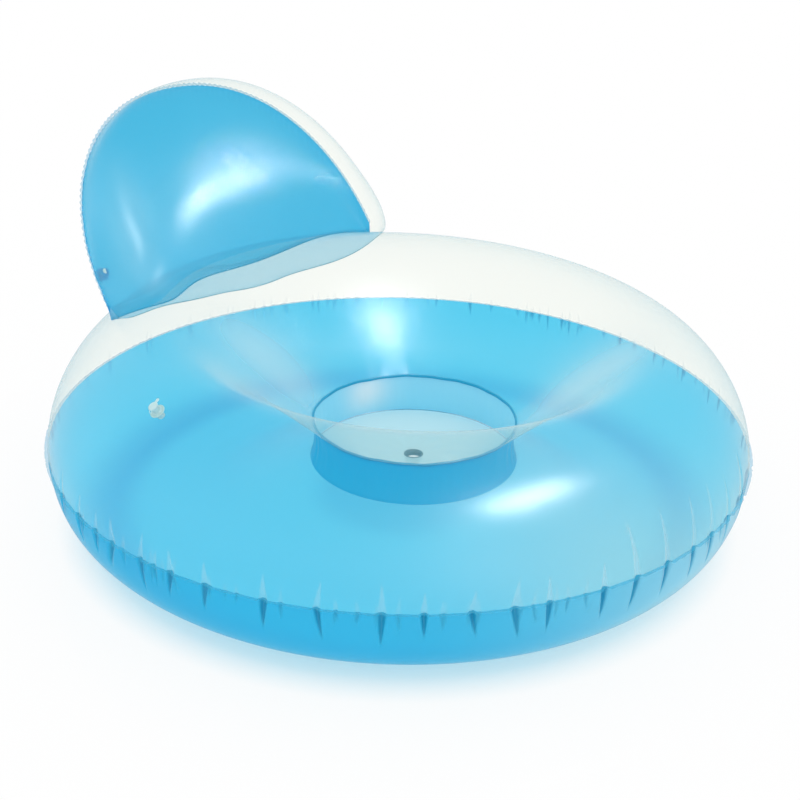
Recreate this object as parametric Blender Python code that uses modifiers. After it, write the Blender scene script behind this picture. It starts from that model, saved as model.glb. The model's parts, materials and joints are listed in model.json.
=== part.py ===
"""Inflatable pool lounger: a round ring with a seat well and an inflated backrest.

The ring is two sheets of vinyl welded along their rims: a clear top sheet and a blue bottom
sheet. A blue wall and a clear floor with a drain hole close the seat well, which lies a
little nearer to the front than the ring's centre. The backrest is a second air chamber of
its own, a clear front sheet and a blue back sheet, and it stands on a flexible gusset that
is welded to the ring. Each chamber has a valve: flange, flexible web, neck, check flap,
stopper and tether.

Metres, +Z up. The origin is on the ground under the ring's centre, and +Y points from the
seat to the backrest.
"""
import math

import bmesh
import bpy
from mathutils import Matrix, Vector
from mathutils.bvhtree import BVHTree

PART_NAME = "pool_lounger"

# Vinyl, and the clearance that pieces keep to each other.
SHEET_THICKNESS = 0.0004
WELD_THICKNESS = 0.0008
CLEARANCE = 0.0003

# Ring: circle of the outer weld, and its height over the ground.
RING_RADIUS = 0.610
RING_WELD_HEIGHT = 0.151
OUTER_WELD_WIDTH = 0.006

# Seat well: its centre lies this far in front of the ring's.
WELL_SETBACK = 0.035
WELL_RADIUS = 0.181
WELL_RIM_HEIGHT = 0.1656
WELL_RIM_WELD_WIDTH = 0.004
WELL_WALL_BULGE = 0.004
WELL_SPLAY = 0.0036
WELL_FLOOR_HEIGHT = 0.093
WELL_FLOOR_WELD_WIDTH = 0.004
DRAIN_RADIUS = 0.015

# Section of the inflated ring, in shares of its local width.
CREST_RISE_SHARE = 0.457
CREST_PLACE_SHARE = 0.426
OUTER_ARC_POWER = 1.81
FUNNEL_ROUNDING_SHARE = 0.25
BELLY_POWER = 2.49
FOOT_OUTER_SHARE = 0.42
FOOT_INNER_SHARE = 0.49

# Gathers at the outer weld: every other vertex is drawn in.
GATHERS = 40
RING_STEPS = 2 * GATHERS
TOP_GATHER_DEPTH = 0.0035
BELLY_GATHER_DEPTH = 0.0080
SMALL_GATHER_SHARE = 0.45
GATHER_FADE_SHARES = (0, 1, 0.8, 0.3)
TOP_ARC_SHARES = (0, 0.09, 0.22, 0.38, 0.56, 0.76, 1)
FUNNEL_STEP_SHARES = (0.12, 0.28, 0.48, 0.72, 1)
BELLY_ARC_SHARES = (0, 0.11, 0.28, 0.47, 0.68, 0.86, 1)
BELLY_FUNNEL_SHARES = (0.15, 0.4, 0.7, 1)

# Backrest: the hinge line, a little under the ring's crest, and the D of its welded rim.
HINGE_INSET = 0.236
HINGE_SINK = 0.007
BACKREST_TILT = math.radians(35.4)
BACKREST_HALF_WIDTH = 0.333
BACKREST_HEIGHT = 0.362
BACKREST_RIM_POWER = 2.16
BACKREST_CENTRE_HEIGHT = 0.150
FRONT_BULGE = 0.085
BACK_BULGE = 0.045
BACKREST_WELD_WIDTH = 0.005
BACKREST_STEPS = 28
SECTION_STEPS = 8

# Gusset between the ring and the backrest.
GUSSET_DEPTH = 0.067
GUSSET_HEIGHT = 0.016
GUSSET_TIP_DROP = 0.0027
GUSSET_CORNER_POWER = 4
GUSSET_FLANGE_WIDTH = 0.006

# Valves, along their own axis from the outer face of the sheet.
VALVE_STEPS = 20
VALVE_FLANGE_RADIUS = 0.0120
VALVE_FLANGE_BORE = 0.0085
VALVE_FLANGE_THICKNESS = 0.0008
VALVE_NECK_RADIUS = 0.0060
VALVE_BORE_RADIUS = 0.0042
VALVE_NECK_ABOVE = 0.012
VALVE_NECK_BELOW = 0.012
VALVE_WEB_THICKNESS = 0.0005
VALVE_WEB_RISE = 0.0025
VALVE_CAP_RADIUS = 0.0078
VALVE_CAP_THICKNESS = 0.0020
VALVE_PLUG_LENGTH = 0.0080
VALVE_PLUG_TIP_RADIUS = 0.0034
VALVE_TAB_REACH = 0.0145
VALVE_TAB_WIDTH = 0.0060
VALVE_TAB_THICKNESS = 0.0014
VALVE_TETHER_RADIUS = 0.0006
VALVE_TETHER_DROP = 0.0045
VALVE_TETHER_REACH = 0.0120
VALVE_TETHER_STEPS = 8
VALVE_TURN = math.radians(9)
VALVE_FLAP_RADIUS = 0.0050
VALVE_FLAP_THICKNESS = 0.0005
RING_VALVE_INSET = 0.108
RING_VALVE_BACK = 0.051
BACKREST_VALVE_INSET = 0.028
BACKREST_VALVE_UP = 0.058
CUT_OVERRUN = 0.010
MERGE_DISTANCE = 0.00001

# Colours: linear red, green and blue, and alpha.
CLEAR_VINYL = (0.86, 0.93, 0.91, 0.35)
BLUE_VINYL = (0.03, 0.42, 0.80, 0.75)
WHITE_VINYL = (0.88, 0.90, 0.88, 1.0)

FULL_TURN = 2 * math.pi
QUARTER_TURN = math.pi / 2
HALF_SHEET = SHEET_THICKNESS / 2
HALF_WELD = WELD_THICKNESS / 2
WELL_CENTRE = Vector((0, -WELL_SETBACK, 0))
WELL_FLOOR_RADIUS = WELL_RADIUS + WELL_SPLAY
TUBE_WIDTH = RING_RADIUS - WELL_RADIUS
SHEET_EDGE_RADIUS = RING_RADIUS - CLEARANCE - HALF_SHEET
HINGE_SETBACK = RING_RADIUS - HINGE_INSET
REAR_CREST_HEIGHT = RING_WELD_HEIGHT + CREST_RISE_SHARE * (TUBE_WIDTH + WELL_SETBACK)
HINGE_HEIGHT = REAR_CREST_HEIGHT - HINGE_SINK
HINGE = Vector((0, HINGE_SETBACK, HINGE_HEIGHT))
BACKREST_TURN = QUARTER_TURN - BACKREST_TILT


def clear_scene():
    """Remove what the file starts with."""
    for item in list(bpy.data.objects):
        bpy.data.objects.remove(item, do_unlink=True)


def make_collection(name):
    """A collection in the scene."""
    group = bpy.data.collections.new(name)
    bpy.context.scene.collection.children.link(group)
    return group


def make_material(name, colour, roughness=0.25):
    """A Principled material of one colour with its alpha."""
    material = bpy.data.materials.new(name)
    material.use_nodes = True
    shader = material.node_tree.nodes["Principled BSDF"]
    shader.inputs["Base Color"].default_value = colour[:3] + (1.0,)
    shader.inputs["Alpha"].default_value = colour[3]
    shader.inputs["Roughness"].default_value = roughness
    material.diffuse_color = colour
    return material


def add_object(name, data, group, colour=None, location=(0, 0, 0), turn=None):
    """Put data in the scene as one named object with its own material."""
    item = bpy.data.objects.new(name, data)
    group.objects.link(item)
    item.location = location
    if turn is not None:
        item.rotation_euler = turn
    if colour is not None:
        data.materials.append(make_material(name + "_vinyl", colour))
    return item


def solidify(item):
    """Give an open surface its wall, half to each side."""
    wall = item.modifiers.new("wall", "SOLIDIFY")
    wall.thickness = SHEET_THICKNESS
    wall.offset = 0
    wall.use_even_offset = True
    return item


def loft_mesh(name, rings):
    """A skin through closed rings of points."""
    shape = bmesh.new()
    rows = [[shape.verts.new(point) for point in ring] for ring in rings]
    count = len(rings[0])
    for near, far in zip(rows, rows[1:]):
        for k in range(count):
            after = (k + 1) % count
            shape.faces.new((near[k], near[after], far[after], far[k]))
    bmesh.ops.recalc_face_normals(shape, faces=shape.faces)
    mesh = bpy.data.meshes.new(name)
    shape.to_mesh(mesh)
    shape.free()
    mesh.shade_smooth()
    return mesh


def turned(name, profile, group, colour, location=(0, 0, 0), steps=RING_STEPS, closed=True):
    """A profile of (radius, height) points turned about the local Z axis."""
    mesh = bpy.data.meshes.new(name)
    edges = [(k, k + 1) for k in range(len(profile) - 1)]
    if closed:
        edges.append((len(profile) - 1, 0))
    mesh.from_pydata([(radius, 0, height) for radius, height in profile], edges, [])
    item = add_object(name, mesh, group, colour, location)
    screw = item.modifiers.new("turn", "SCREW")
    screw.steps = steps
    screw.render_steps = steps
    screw.use_merge_vertices = True
    screw.merge_threshold = MERGE_DISTANCE
    return item


def flat_ring(name, inner, outer, height, thickness, group, colour, location, steps=RING_STEPS):
    """A washer whose mid plane lies at the height given."""
    half = thickness / 2
    profile = [(inner, height + half), (outer, height + half),
               (outer, height - half), (inner, height - half)]
    return turned(name, profile, group, colour, location, steps)


def ring_point(angle, share, inner_radius):
    """Plan position on the line from the outer weld to the well, and that line's length."""
    spoke = Vector((math.cos(angle), math.sin(angle), 0))
    outer = SHEET_EDGE_RADIUS * spoke
    inner = inner_radius * spoke + WELL_CENTRE
    return outer.lerp(inner, share), (outer - inner).length


def funnel_share(step):
    """From 1 at the crest to 0 at the well: a hyperbola that soon runs straight."""
    rounding = FUNNEL_ROUNDING_SHARE
    drop = math.hypot(step, rounding) - rounding
    return 1 - drop / (math.hypot(1, rounding) - rounding)


def gather_depth(step, row, depth):
    """How far a vertex near the outer weld is drawn in: deep and small pleats in turn."""
    if step % 2 == 0 or row >= len(GATHER_FADE_SHARES):
        return 0
    size_share = 1 if step % 4 == 1 else SMALL_GATHER_SHARE
    return depth * size_share * GATHER_FADE_SHARES[row]


def ring_top_rings():
    """Closed rings of the top sheet, from the outer weld over the crest to the well."""
    inner_radius = WELL_RADIUS + CLEARANCE
    edge_height = RING_WELD_HEIGHT + CLEARANCE / 2
    rim_height = WELL_RIM_HEIGHT + CLEARANCE / 2 + HALF_SHEET
    rings = []
    for row, arc_share in enumerate(TOP_ARC_SHARES):
        turn = arc_share * QUARTER_TURN
        place_share = CREST_PLACE_SHARE * (1 - math.cos(turn) ** (2 / OUTER_ARC_POWER))
        rise_share = CREST_RISE_SHARE * math.sin(turn) ** (2 / OUTER_ARC_POWER)
        ring = []
        for step in range(RING_STEPS):
            angle = FULL_TURN * step / RING_STEPS
            point, width = ring_point(angle, place_share, inner_radius)
            point.z = edge_height + width * rise_share
            inward = gather_depth(step, row, TOP_GATHER_DEPTH)
            point -= inward * Vector((math.cos(angle), math.sin(angle), 0))
            ring.append(point)
        rings.append(ring)
    for funnel_step in FUNNEL_STEP_SHARES:
        place_share = CREST_PLACE_SHARE + (1 - CREST_PLACE_SHARE) * funnel_step
        ring = []
        for step in range(RING_STEPS):
            point, width = ring_point(FULL_TURN * step / RING_STEPS, place_share, inner_radius)
            crest = edge_height + width * CREST_RISE_SHARE
            point.z = rim_height + (crest - rim_height) * funnel_share(funnel_step)
            ring.append(point)
        rings.append(ring)
    return rings


def ring_bottom_rings():
    """Closed rings of the bottom sheet, from the outer weld over its flat foot to the well."""
    inner_radius = WELL_FLOOR_RADIUS + CLEARANCE
    edge_height = RING_WELD_HEIGHT - CLEARANCE / 2
    rim_height = WELL_FLOOR_HEIGHT - CLEARANCE / 2 - HALF_SHEET
    foot_height = HALF_SHEET
    rings = []
    for row, arc_share in enumerate(BELLY_ARC_SHARES):
        turn = arc_share * QUARTER_TURN
        place_share = FOOT_OUTER_SHARE * (1 - math.cos(turn) ** (2 / BELLY_POWER))
        fall_share = math.sin(turn) ** (2 / BELLY_POWER)
        ring = []
        for step in range(RING_STEPS):
            angle = FULL_TURN * step / RING_STEPS
            point, width = ring_point(angle, place_share, inner_radius)
            point.z = edge_height + (foot_height - edge_height) * fall_share
            inward = gather_depth(step, row, BELLY_GATHER_DEPTH)
            point -= inward * Vector((math.cos(angle), math.sin(angle), 0))
            ring.append(point)
        rings.append(ring)
    for funnel_step in (0,) + BELLY_FUNNEL_SHARES:
        place_share = FOOT_INNER_SHARE + (1 - FOOT_INNER_SHARE) * funnel_step
        ring = []
        for step in range(RING_STEPS):
            point, width = ring_point(FULL_TURN * step / RING_STEPS, place_share, inner_radius)
            point.z = rim_height + (foot_height - rim_height) * funnel_share(funnel_step)
            ring.append(point)
        rings.append(ring)
    return rings


def make_ring(group):
    """Top and bottom sheets and the weld that joins them."""
    top = solidify(add_object("ring_top_sheet", loft_mesh("ring_top_sheet", ring_top_rings()),
                              group, CLEAR_VINYL))
    bottom_mesh = loft_mesh("ring_bottom_sheet", ring_bottom_rings())
    solidify(add_object("ring_bottom_sheet", bottom_mesh, group, BLUE_VINYL))
    flat_ring("outer_weld", RING_RADIUS, RING_RADIUS + OUTER_WELD_WIDTH, RING_WELD_HEIGHT,
              WELD_THICKNESS, group, CLEAR_VINYL, (0, 0, 0))
    return top


def make_well(group):
    """Rim weld, wall, floor weld and floor of the seat well."""
    flat_ring("well_rim_weld", WELL_RADIUS - CLEARANCE - WELL_RIM_WELD_WIDTH,
              WELL_RADIUS - CLEARANCE, WELL_RIM_HEIGHT, WELD_THICKNESS, group, BLUE_VINYL,
              WELL_CENTRE)
    top_height = WELL_RIM_HEIGHT - HALF_WELD - CLEARANCE
    low_height = WELL_FLOOR_HEIGHT + HALF_WELD + CLEARANCE
    middle_radius = (WELL_RADIUS + WELL_FLOOR_RADIUS) / 2 - WELL_WALL_BULGE
    middle_height = (top_height + low_height) / 2
    wall = [(WELL_RADIUS, top_height), (middle_radius, middle_height),
            (WELL_FLOOR_RADIUS, low_height)]
    outer_side = [(radius + HALF_SHEET, height) for radius, height in wall]
    inner_side = [(radius - HALF_SHEET, height) for radius, height in reversed(wall)]
    turned("well_wall", outer_side + inner_side, group, BLUE_VINYL, WELL_CENTRE)
    weld_outer = WELL_FLOOR_RADIUS
    weld_inner = weld_outer - WELL_FLOOR_WELD_WIDTH
    flat_ring("well_floor_weld", weld_inner, weld_outer, WELL_FLOOR_HEIGHT, WELD_THICKNESS,
              group, BLUE_VINYL, WELL_CENTRE)
    flat_ring("well_floor", DRAIN_RADIUS, weld_inner - CLEARANCE, WELL_FLOOR_HEIGHT,
              SHEET_THICKNESS, group, CLEAR_VINYL, WELL_CENTRE)


def surface_tree(item):
    """A search tree of an object's evaluated faces, in world space."""
    graph = bpy.context.evaluated_depsgraph_get()
    shape = bmesh.new()
    shape.from_object(item, graph)
    shape.transform(item.matrix_world)
    shape.normal_update()
    tree = BVHTree.FromBMesh(shape)
    shape.free()
    return tree


def height_on(tree, across, back):
    """Height of the sheet's upper face at a plan position."""
    drop_from = Vector((across, back, HINGE_HEIGHT + BACKREST_HEIGHT))
    place, normal, index, distance = tree.ray_cast(drop_from, Vector((0, 0, -1)))
    return place.z


def backrest_local(point):
    """A world point in the backrest's frame: across, up its rim's plane, and forwards."""
    return Matrix.Rotation(-BACKREST_TURN, 3, "X") @ (Vector(point) - HINGE)


def backrest_world(point):
    """A point of the backrest's frame in the world."""
    return Matrix.Rotation(BACKREST_TURN, 3, "X") @ Vector(point) + HINGE


def across_places():
    """Shares of the backrest's half width from its left tip to its right, closer at the tips."""
    return [-math.cos(math.pi * step / BACKREST_STEPS) for step in range(BACKREST_STEPS + 1)]


def rim_line():
    """Points of the D-shaped rim from its left tip over the top to its right tip."""
    points = []
    for across_share in across_places():
        up_share = (1 - abs(across_share) ** BACKREST_RIM_POWER) ** (1 / BACKREST_RIM_POWER)
        points.append(Vector((BACKREST_HALF_WIDTH * across_share, BACKREST_HEIGHT * up_share, 0)))
    return points


def gusset_plan():
    """Plan of the gusset: front line and rear line, each from the left tip to the right."""
    front = []
    rear = []
    for across_share in across_places():
        reach = (1 - abs(across_share) ** GUSSET_CORNER_POWER) ** (1 / GUSSET_CORNER_POWER)
        across = BACKREST_HALF_WIDTH * across_share
        front.append(Vector((across, HINGE_SETBACK - GUSSET_DEPTH * reach, 0)))
        rear.append(Vector((across, HINGE_SETBACK, 0)))
    return front, rear


def gusset_top(line, tree):
    """A plan line lifted to the gusset's upper edge, which ends just under the rim's tips."""
    ring_height = height_on(tree, BACKREST_HALF_WIDTH, HINGE_SETBACK)
    tip_rise = HINGE_HEIGHT - GUSSET_TIP_DROP - ring_height - GUSSET_HEIGHT
    lifted = []
    for point in line:
        tip_share = (abs(point.x) / BACKREST_HALF_WIDTH) ** GUSSET_CORNER_POWER
        rise = GUSSET_HEIGHT + tip_rise * tip_share
        lifted.append(Vector((point.x, point.y, height_on(tree, point.x, point.y) + rise)))
    return lifted


def seated_loop(loop, tree):
    """A plan loop laid on the sheet, high enough that its straight edges clear the facets."""
    count = len(loop)
    seated = []
    for k, point in enumerate(loop):
        nearby = [point]
        for other in (loop[k - 1], loop[(k + 1) % count]):
            nearby += [point.lerp(other, part / 4) for part in (1, 2, 3, 4)]
        height = max(height_on(tree, spot.x, spot.y) for spot in nearby)
        seated.append(Vector((point.x, point.y, height + CLEARANCE + HALF_SHEET)))
    return seated


def make_gusset(group, tree):
    """Flexible band between ring and backrest, with the flange that is welded to the ring."""
    front, rear = gusset_plan()
    top_loop = gusset_top(front, tree) + gusset_top(rear[-2:0:-1], tree)
    plan_loop = front + rear[-2:0:-1]
    middle = Vector((0, HINGE_SETBACK - GUSSET_DEPTH / 2, 0))
    flange_plan = []
    for point in plan_loop:
        outward = point - middle
        outward.x *= GUSSET_DEPTH / BACKREST_HALF_WIDTH
        flange_plan.append(point + GUSSET_FLANGE_WIDTH * outward.normalized())
    base_loop = seated_loop(plan_loop, tree)
    flange_loop = seated_loop(flange_plan, tree)
    lower = Vector((0, 0, CLEARANCE + SHEET_THICKNESS))
    top_loop = [point - lower for point in top_loop]
    mesh = loft_mesh("backrest_gusset", [top_loop, base_loop, flange_loop])
    return solidify(add_object("backrest_gusset", mesh, group, CLEAR_VINYL))


def pillow_sheet(name, low_line, rim, bulge, square_edge, group, colour):
    """A sheet blown out between its lower line and the rim, in the backrest's frame.

    Each section stands over one place across the backrest, and it is as deep as it is tall, so
    that the sheet closes at both tips. With a square edge a section leaves its two lines at a
    right angle, as a half ellipse does, and otherwise as a parabola.
    """
    tallest = max((top - low).length for low, top in zip(low_line, rim))
    shape = bmesh.new()
    columns = []
    for low, top in zip(low_line[1:-1], rim[1:-1]):
        depth = bulge * (top - low).length / tallest
        column = []
        for row in range(SECTION_STEPS + 1):
            place_share = row / SECTION_STEPS
            rise_share = 4 * place_share * (1 - place_share)
            if square_edge:
                rise_share = math.sin(math.pi * place_share)
                place_share = (1 - math.cos(math.pi * place_share)) / 2
            point = low.lerp(top, place_share) + Vector((0, 0, depth * rise_share))
            column.append(shape.verts.new(point))
        columns.append(column)
    for tip_point, column in ((rim[0], columns[0]), (rim[-1], columns[-1])):
        tip = shape.verts.new(tip_point)
        for near, far in zip(column, column[1:]):
            shape.faces.new((tip, near, far))
    for left, right in zip(columns, columns[1:]):
        for row in range(SECTION_STEPS):
            shape.faces.new((left[row], right[row], right[row + 1], left[row + 1]))
    bmesh.ops.recalc_face_normals(shape, faces=shape.faces)
    mesh = bpy.data.meshes.new(name)
    shape.to_mesh(mesh)
    shape.free()
    mesh.shade_smooth()
    return solidify(add_object(name, mesh, group, colour, HINGE, (BACKREST_TURN, 0, 0)))


def make_backrest(group, tree):
    """Front sheet, back sheet and the weld round their common rim."""
    front, rear = gusset_plan()
    rim = rim_line()
    apart = Vector((0, 0, CLEARANCE / 2 + HALF_SHEET))
    front_low = [backrest_local(point) + apart for point in gusset_top(front, tree)]
    rear_low = [backrest_local(point) - apart for point in gusset_top(rear, tree)]
    front_rim = [point + apart for point in rim]
    back_rim = [point - apart for point in rim]
    pillow_sheet("backrest_front_sheet", front_low, front_rim, FRONT_BULGE, True, group,
                 CLEAR_VINYL)
    back = pillow_sheet("backrest_back_sheet", rear_low, back_rim, -BACK_BULGE, False, group,
                        BLUE_VINYL)
    middle = Vector((0, BACKREST_CENTRE_HEIGHT, 0))
    outline = []
    for margin in (HALF_SHEET + CLEARANCE, BACKREST_WELD_WIDTH):
        line = [point + margin * (point - middle).normalized() for point in rim]
        outline.append(line)
    curve = bpy.data.curves.new("backrest_weld", "CURVE")
    curve.dimensions = "2D"
    curve.fill_mode = "BOTH"
    curve.extrude = HALF_WELD
    spline = curve.splines.new("POLY")
    loop = outline[0] + outline[1][::-1]
    spline.points.add(len(loop) - 1)
    for spot, point in zip(spline.points, loop):
        spot.co = (point.x, point.y, 0, 1)
    spline.use_cyclic_u = True
    add_object("backrest_weld", curve, group, CLEAR_VINYL, HINGE, (BACKREST_TURN, 0, 0))
    return back


def cut_hole(item, name, radius, frame, cutters):
    """Cut a round hole for a valve through a sheet."""
    bpy.ops.mesh.primitive_cylinder_add(vertices=VALVE_STEPS, radius=radius,
                                        depth=2 * CUT_OVERRUN)
    cutter = bpy.context.object
    cutter.name = name
    cutter.matrix_world = frame
    for holder in list(cutter.users_collection):
        holder.objects.unlink(cutter)
    cutters.objects.link(cutter)
    cutter.hide_render = True
    cutter.display_type = "WIRE"
    cut = item.modifiers.new("valve_hole", "BOOLEAN")
    cut.operation = "DIFFERENCE"
    cut.solver = "EXACT"
    cut.object = cutter


def make_stopper(name, group, cutters, frame):
    """Cap with its plug and the pull tab that is moulded to it."""
    seat = VALVE_NECK_ABOVE + CLEARANCE
    plug_radius = VALVE_BORE_RADIUS - CLEARANCE
    plug_end = seat - VALVE_PLUG_LENGTH
    profile = [(0, seat + VALVE_CAP_THICKNESS), (VALVE_CAP_RADIUS, seat + VALVE_CAP_THICKNESS),
               (VALVE_CAP_RADIUS, seat), (plug_radius, seat), (VALVE_PLUG_TIP_RADIUS, plug_end),
               (0, plug_end)]
    stopper = turned(name + "_stopper", profile, group, WHITE_VINYL, steps=VALVE_STEPS,
                     closed=False)
    stopper.matrix_world = frame
    bpy.ops.mesh.primitive_cube_add(size=1)
    tab = bpy.context.object
    tab.name = name + "_stopper_tab"
    length = VALVE_TAB_REACH - VALVE_BORE_RADIUS
    middle_height = seat + VALVE_CAP_THICKNESS / 2
    tab.data.transform(Matrix.Diagonal((length, VALVE_TAB_WIDTH, VALVE_TAB_THICKNESS, 1)))
    tab.data.transform(Matrix.Translation((VALVE_BORE_RADIUS + length / 2, 0, middle_height)))
    tab.matrix_world = frame
    for holder in list(tab.users_collection):
        holder.objects.unlink(tab)
    cutters.objects.link(tab)
    tab.hide_render = True
    tab.display_type = "WIRE"
    join = stopper.modifiers.new("pull_tab", "BOOLEAN")
    join.operation = "UNION"
    join.solver = "EXACT"
    join.object = tab
    return stopper


def make_tether(name, group, frame):
    """Cord from the side of the neck round half an ellipse to the edge of the cap."""
    start_height = VALVE_NECK_ABOVE - VALVE_TETHER_DROP
    end_height = VALVE_NECK_ABOVE + CLEARANCE + VALVE_CAP_THICKNESS / 2
    start = Vector((-VALVE_NECK_RADIUS - CLEARANCE, 0, start_height))
    end = Vector((-VALVE_CAP_RADIUS - CLEARANCE, 0, end_height))
    reach = VALVE_TETHER_REACH - VALVE_CAP_RADIUS
    curve = bpy.data.curves.new(name + "_tether", "CURVE")
    curve.dimensions = "3D"
    curve.bevel_depth = VALVE_TETHER_RADIUS
    curve.bevel_resolution = 1
    curve.use_fill_caps = True
    spline = curve.splines.new("POLY")
    spline.points.add(VALVE_TETHER_STEPS)
    for k, spot in enumerate(spline.points):
        part = k / VALVE_TETHER_STEPS
        bow = math.sin(math.pi * part)
        rise_share = (1 - math.cos(math.pi * part)) / 2
        point = start.lerp(end, rise_share) + Vector((-reach * bow, 0, 0))
        spot.co = (point.x, point.y, point.z, 1)
    tether = add_object(name + "_tether", curve, group, WHITE_VINYL)
    tether.matrix_world = frame
    return tether


def make_valve(name, place, outward, sheet, group, cutters):
    """One valve: its axis is the sheet's outward direction, and its tab points nearly uphill."""
    upright = outward.to_track_quat("Z", "X").to_matrix().to_4x4()
    frame = Matrix.Translation(place) @ upright @ Matrix.Rotation(VALVE_TURN, 4, "Z")
    cut_hole(sheet, name + "_hole", VALVE_FLANGE_BORE + CLEARANCE, frame, cutters)
    flange_middle = CLEARANCE + VALVE_FLANGE_THICKNESS / 2
    flange = flat_ring(name + "_flange", VALVE_FLANGE_BORE, VALVE_FLANGE_RADIUS, flange_middle,
                       VALVE_FLANGE_THICKNESS, group, CLEAR_VINYL, (0, 0, 0), VALVE_STEPS)
    web_outer = VALVE_FLANGE_BORE - CLEARANCE
    web_inner = VALVE_NECK_RADIUS + CLEARANCE
    web_profile = [(web_inner, VALVE_WEB_RISE + VALVE_WEB_THICKNESS),
                   (web_outer, CLEARANCE + VALVE_WEB_THICKNESS),
                   (web_outer, CLEARANCE), (web_inner, VALVE_WEB_RISE)]
    web = turned(name + "_web", web_profile, group, CLEAR_VINYL, steps=VALVE_STEPS)
    neck_profile = [(VALVE_BORE_RADIUS, VALVE_NECK_ABOVE), (VALVE_NECK_RADIUS, VALVE_NECK_ABOVE),
                    (VALVE_NECK_RADIUS, -VALVE_NECK_BELOW),
                    (VALVE_BORE_RADIUS, -VALVE_NECK_BELOW)]
    neck = turned(name + "_neck", neck_profile, group, CLEAR_VINYL, steps=VALVE_STEPS)
    flap_top = -VALVE_NECK_BELOW - CLEARANCE
    flap_profile = [(0, flap_top), (VALVE_FLAP_RADIUS, flap_top),
                    (VALVE_FLAP_RADIUS, flap_top - VALVE_FLAP_THICKNESS),
                    (0, flap_top - VALVE_FLAP_THICKNESS)]
    flap = turned(name + "_flap", flap_profile, group, CLEAR_VINYL, steps=VALVE_STEPS,
                  closed=False)
    for item in (flange, web, neck, flap):
        item.matrix_world = frame
    make_stopper(name, group, cutters, frame)
    make_tether(name, group, frame)


def valve_seat(tree, guess, inside):
    """Where a valve's flange rests on a sheet's outer face, and the direction out of it."""
    place, outward, index, distance = tree.find_nearest(guess)
    if outward.dot(guess - inside) < 0:
        outward = -outward
    across = outward.orthogonal().normalized()
    lift = 0
    for radius in (VALVE_FLANGE_BORE, VALVE_FLANGE_RADIUS):
        for step in range(VALVE_STEPS):
            spoke = Matrix.Rotation(FULL_TURN * step / VALVE_STEPS, 3, outward) @ across
            start = place + radius * spoke + CUT_OVERRUN * outward
            hit, normal, index, distance = tree.ray_cast(start, -outward, 2 * CUT_OVERRUN)
            if hit is not None:
                lift = max(lift, (hit - place).dot(outward))
    return place + lift * outward, outward


def main():
    """Build the whole lounger."""
    clear_scene()
    parts = make_collection(PART_NAME)
    cutters = make_collection("cutters")
    top = make_ring(parts)
    make_well(parts)
    bpy.context.view_layer.update()
    top_tree = surface_tree(top)
    make_gusset(parts, top_tree)
    back = make_backrest(parts, top_tree)
    bpy.context.view_layer.update()
    across = RING_VALVE_INSET - RING_RADIUS
    depth = RING_VALVE_BACK
    above = Vector((across, depth, height_on(top_tree, across, depth) + CUT_OVERRUN / 2))
    tube_middle = Vector((across, depth, 0)).normalized() * (RING_RADIUS - TUBE_WIDTH / 2)
    tube_middle.z = RING_WELD_HEIGHT
    place, outward = valve_seat(top_tree, above, tube_middle)
    make_valve("ring_valve", place, outward, top, parts, cutters)
    back_tree = surface_tree(back)
    across = BACKREST_VALVE_INSET - BACKREST_HALF_WIDTH
    behind = backrest_world((across, BACKREST_VALVE_UP, -BACK_BULGE))
    inside = backrest_world((0, BACKREST_CENTRE_HEIGHT, FRONT_BULGE))
    place, outward = valve_seat(back_tree, behind, inside)
    make_valve("backrest_valve", place, outward, back, parts, cutters)
    for item in parts.objects:
        print("%s at (%.4f, %.4f, %.4f)" % ((item.name,) + tuple(item.matrix_world.translation)))


main()
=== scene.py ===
"""Looks of an inflatable pool lounger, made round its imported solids.

The ring, the seat well and the backrest are films of soft vinyl: clear on top and in front,
blue below and behind. Each film is one surface worked out on a grid, drawn in by gathers at
its welds. The welds and the two valves are solid pieces.

Metres, +Z up, in the frame of the solids: the origin is on the ground under the ring's
centre, and +Y points from the seat to the backrest.
"""
import json
import math

import bmesh
import bpy
import numpy as np
from mathutils import Matrix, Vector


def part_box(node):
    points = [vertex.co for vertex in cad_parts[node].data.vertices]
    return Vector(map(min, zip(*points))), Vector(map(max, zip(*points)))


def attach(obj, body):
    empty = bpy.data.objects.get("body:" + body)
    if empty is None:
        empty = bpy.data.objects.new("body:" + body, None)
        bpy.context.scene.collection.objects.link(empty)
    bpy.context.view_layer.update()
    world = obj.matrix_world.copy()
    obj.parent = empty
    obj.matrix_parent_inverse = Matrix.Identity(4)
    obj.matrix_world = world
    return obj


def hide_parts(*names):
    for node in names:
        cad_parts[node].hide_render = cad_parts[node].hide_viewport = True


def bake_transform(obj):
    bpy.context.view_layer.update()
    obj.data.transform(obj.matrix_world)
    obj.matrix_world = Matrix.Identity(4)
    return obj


bl_info = {
    "name": "Pool lounger looks",
    "version": (1, 0, 0),
    "blender": (4, 5, 0),
    "location": "View3D > Sidebar > Lounger",
    "description": "Films, welds and valves of an inflatable pool lounger",
    "category": "Object",
}

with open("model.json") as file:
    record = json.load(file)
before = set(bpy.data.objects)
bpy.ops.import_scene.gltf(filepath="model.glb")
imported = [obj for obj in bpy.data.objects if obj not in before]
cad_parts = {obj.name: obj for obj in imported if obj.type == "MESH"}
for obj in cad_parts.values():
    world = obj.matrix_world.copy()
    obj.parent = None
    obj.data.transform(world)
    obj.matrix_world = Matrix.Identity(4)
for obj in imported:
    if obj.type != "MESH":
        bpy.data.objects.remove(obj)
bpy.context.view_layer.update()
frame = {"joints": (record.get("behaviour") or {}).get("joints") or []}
JOINTS = {joint["name"]: joint for joint in frame["joints"]}

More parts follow.
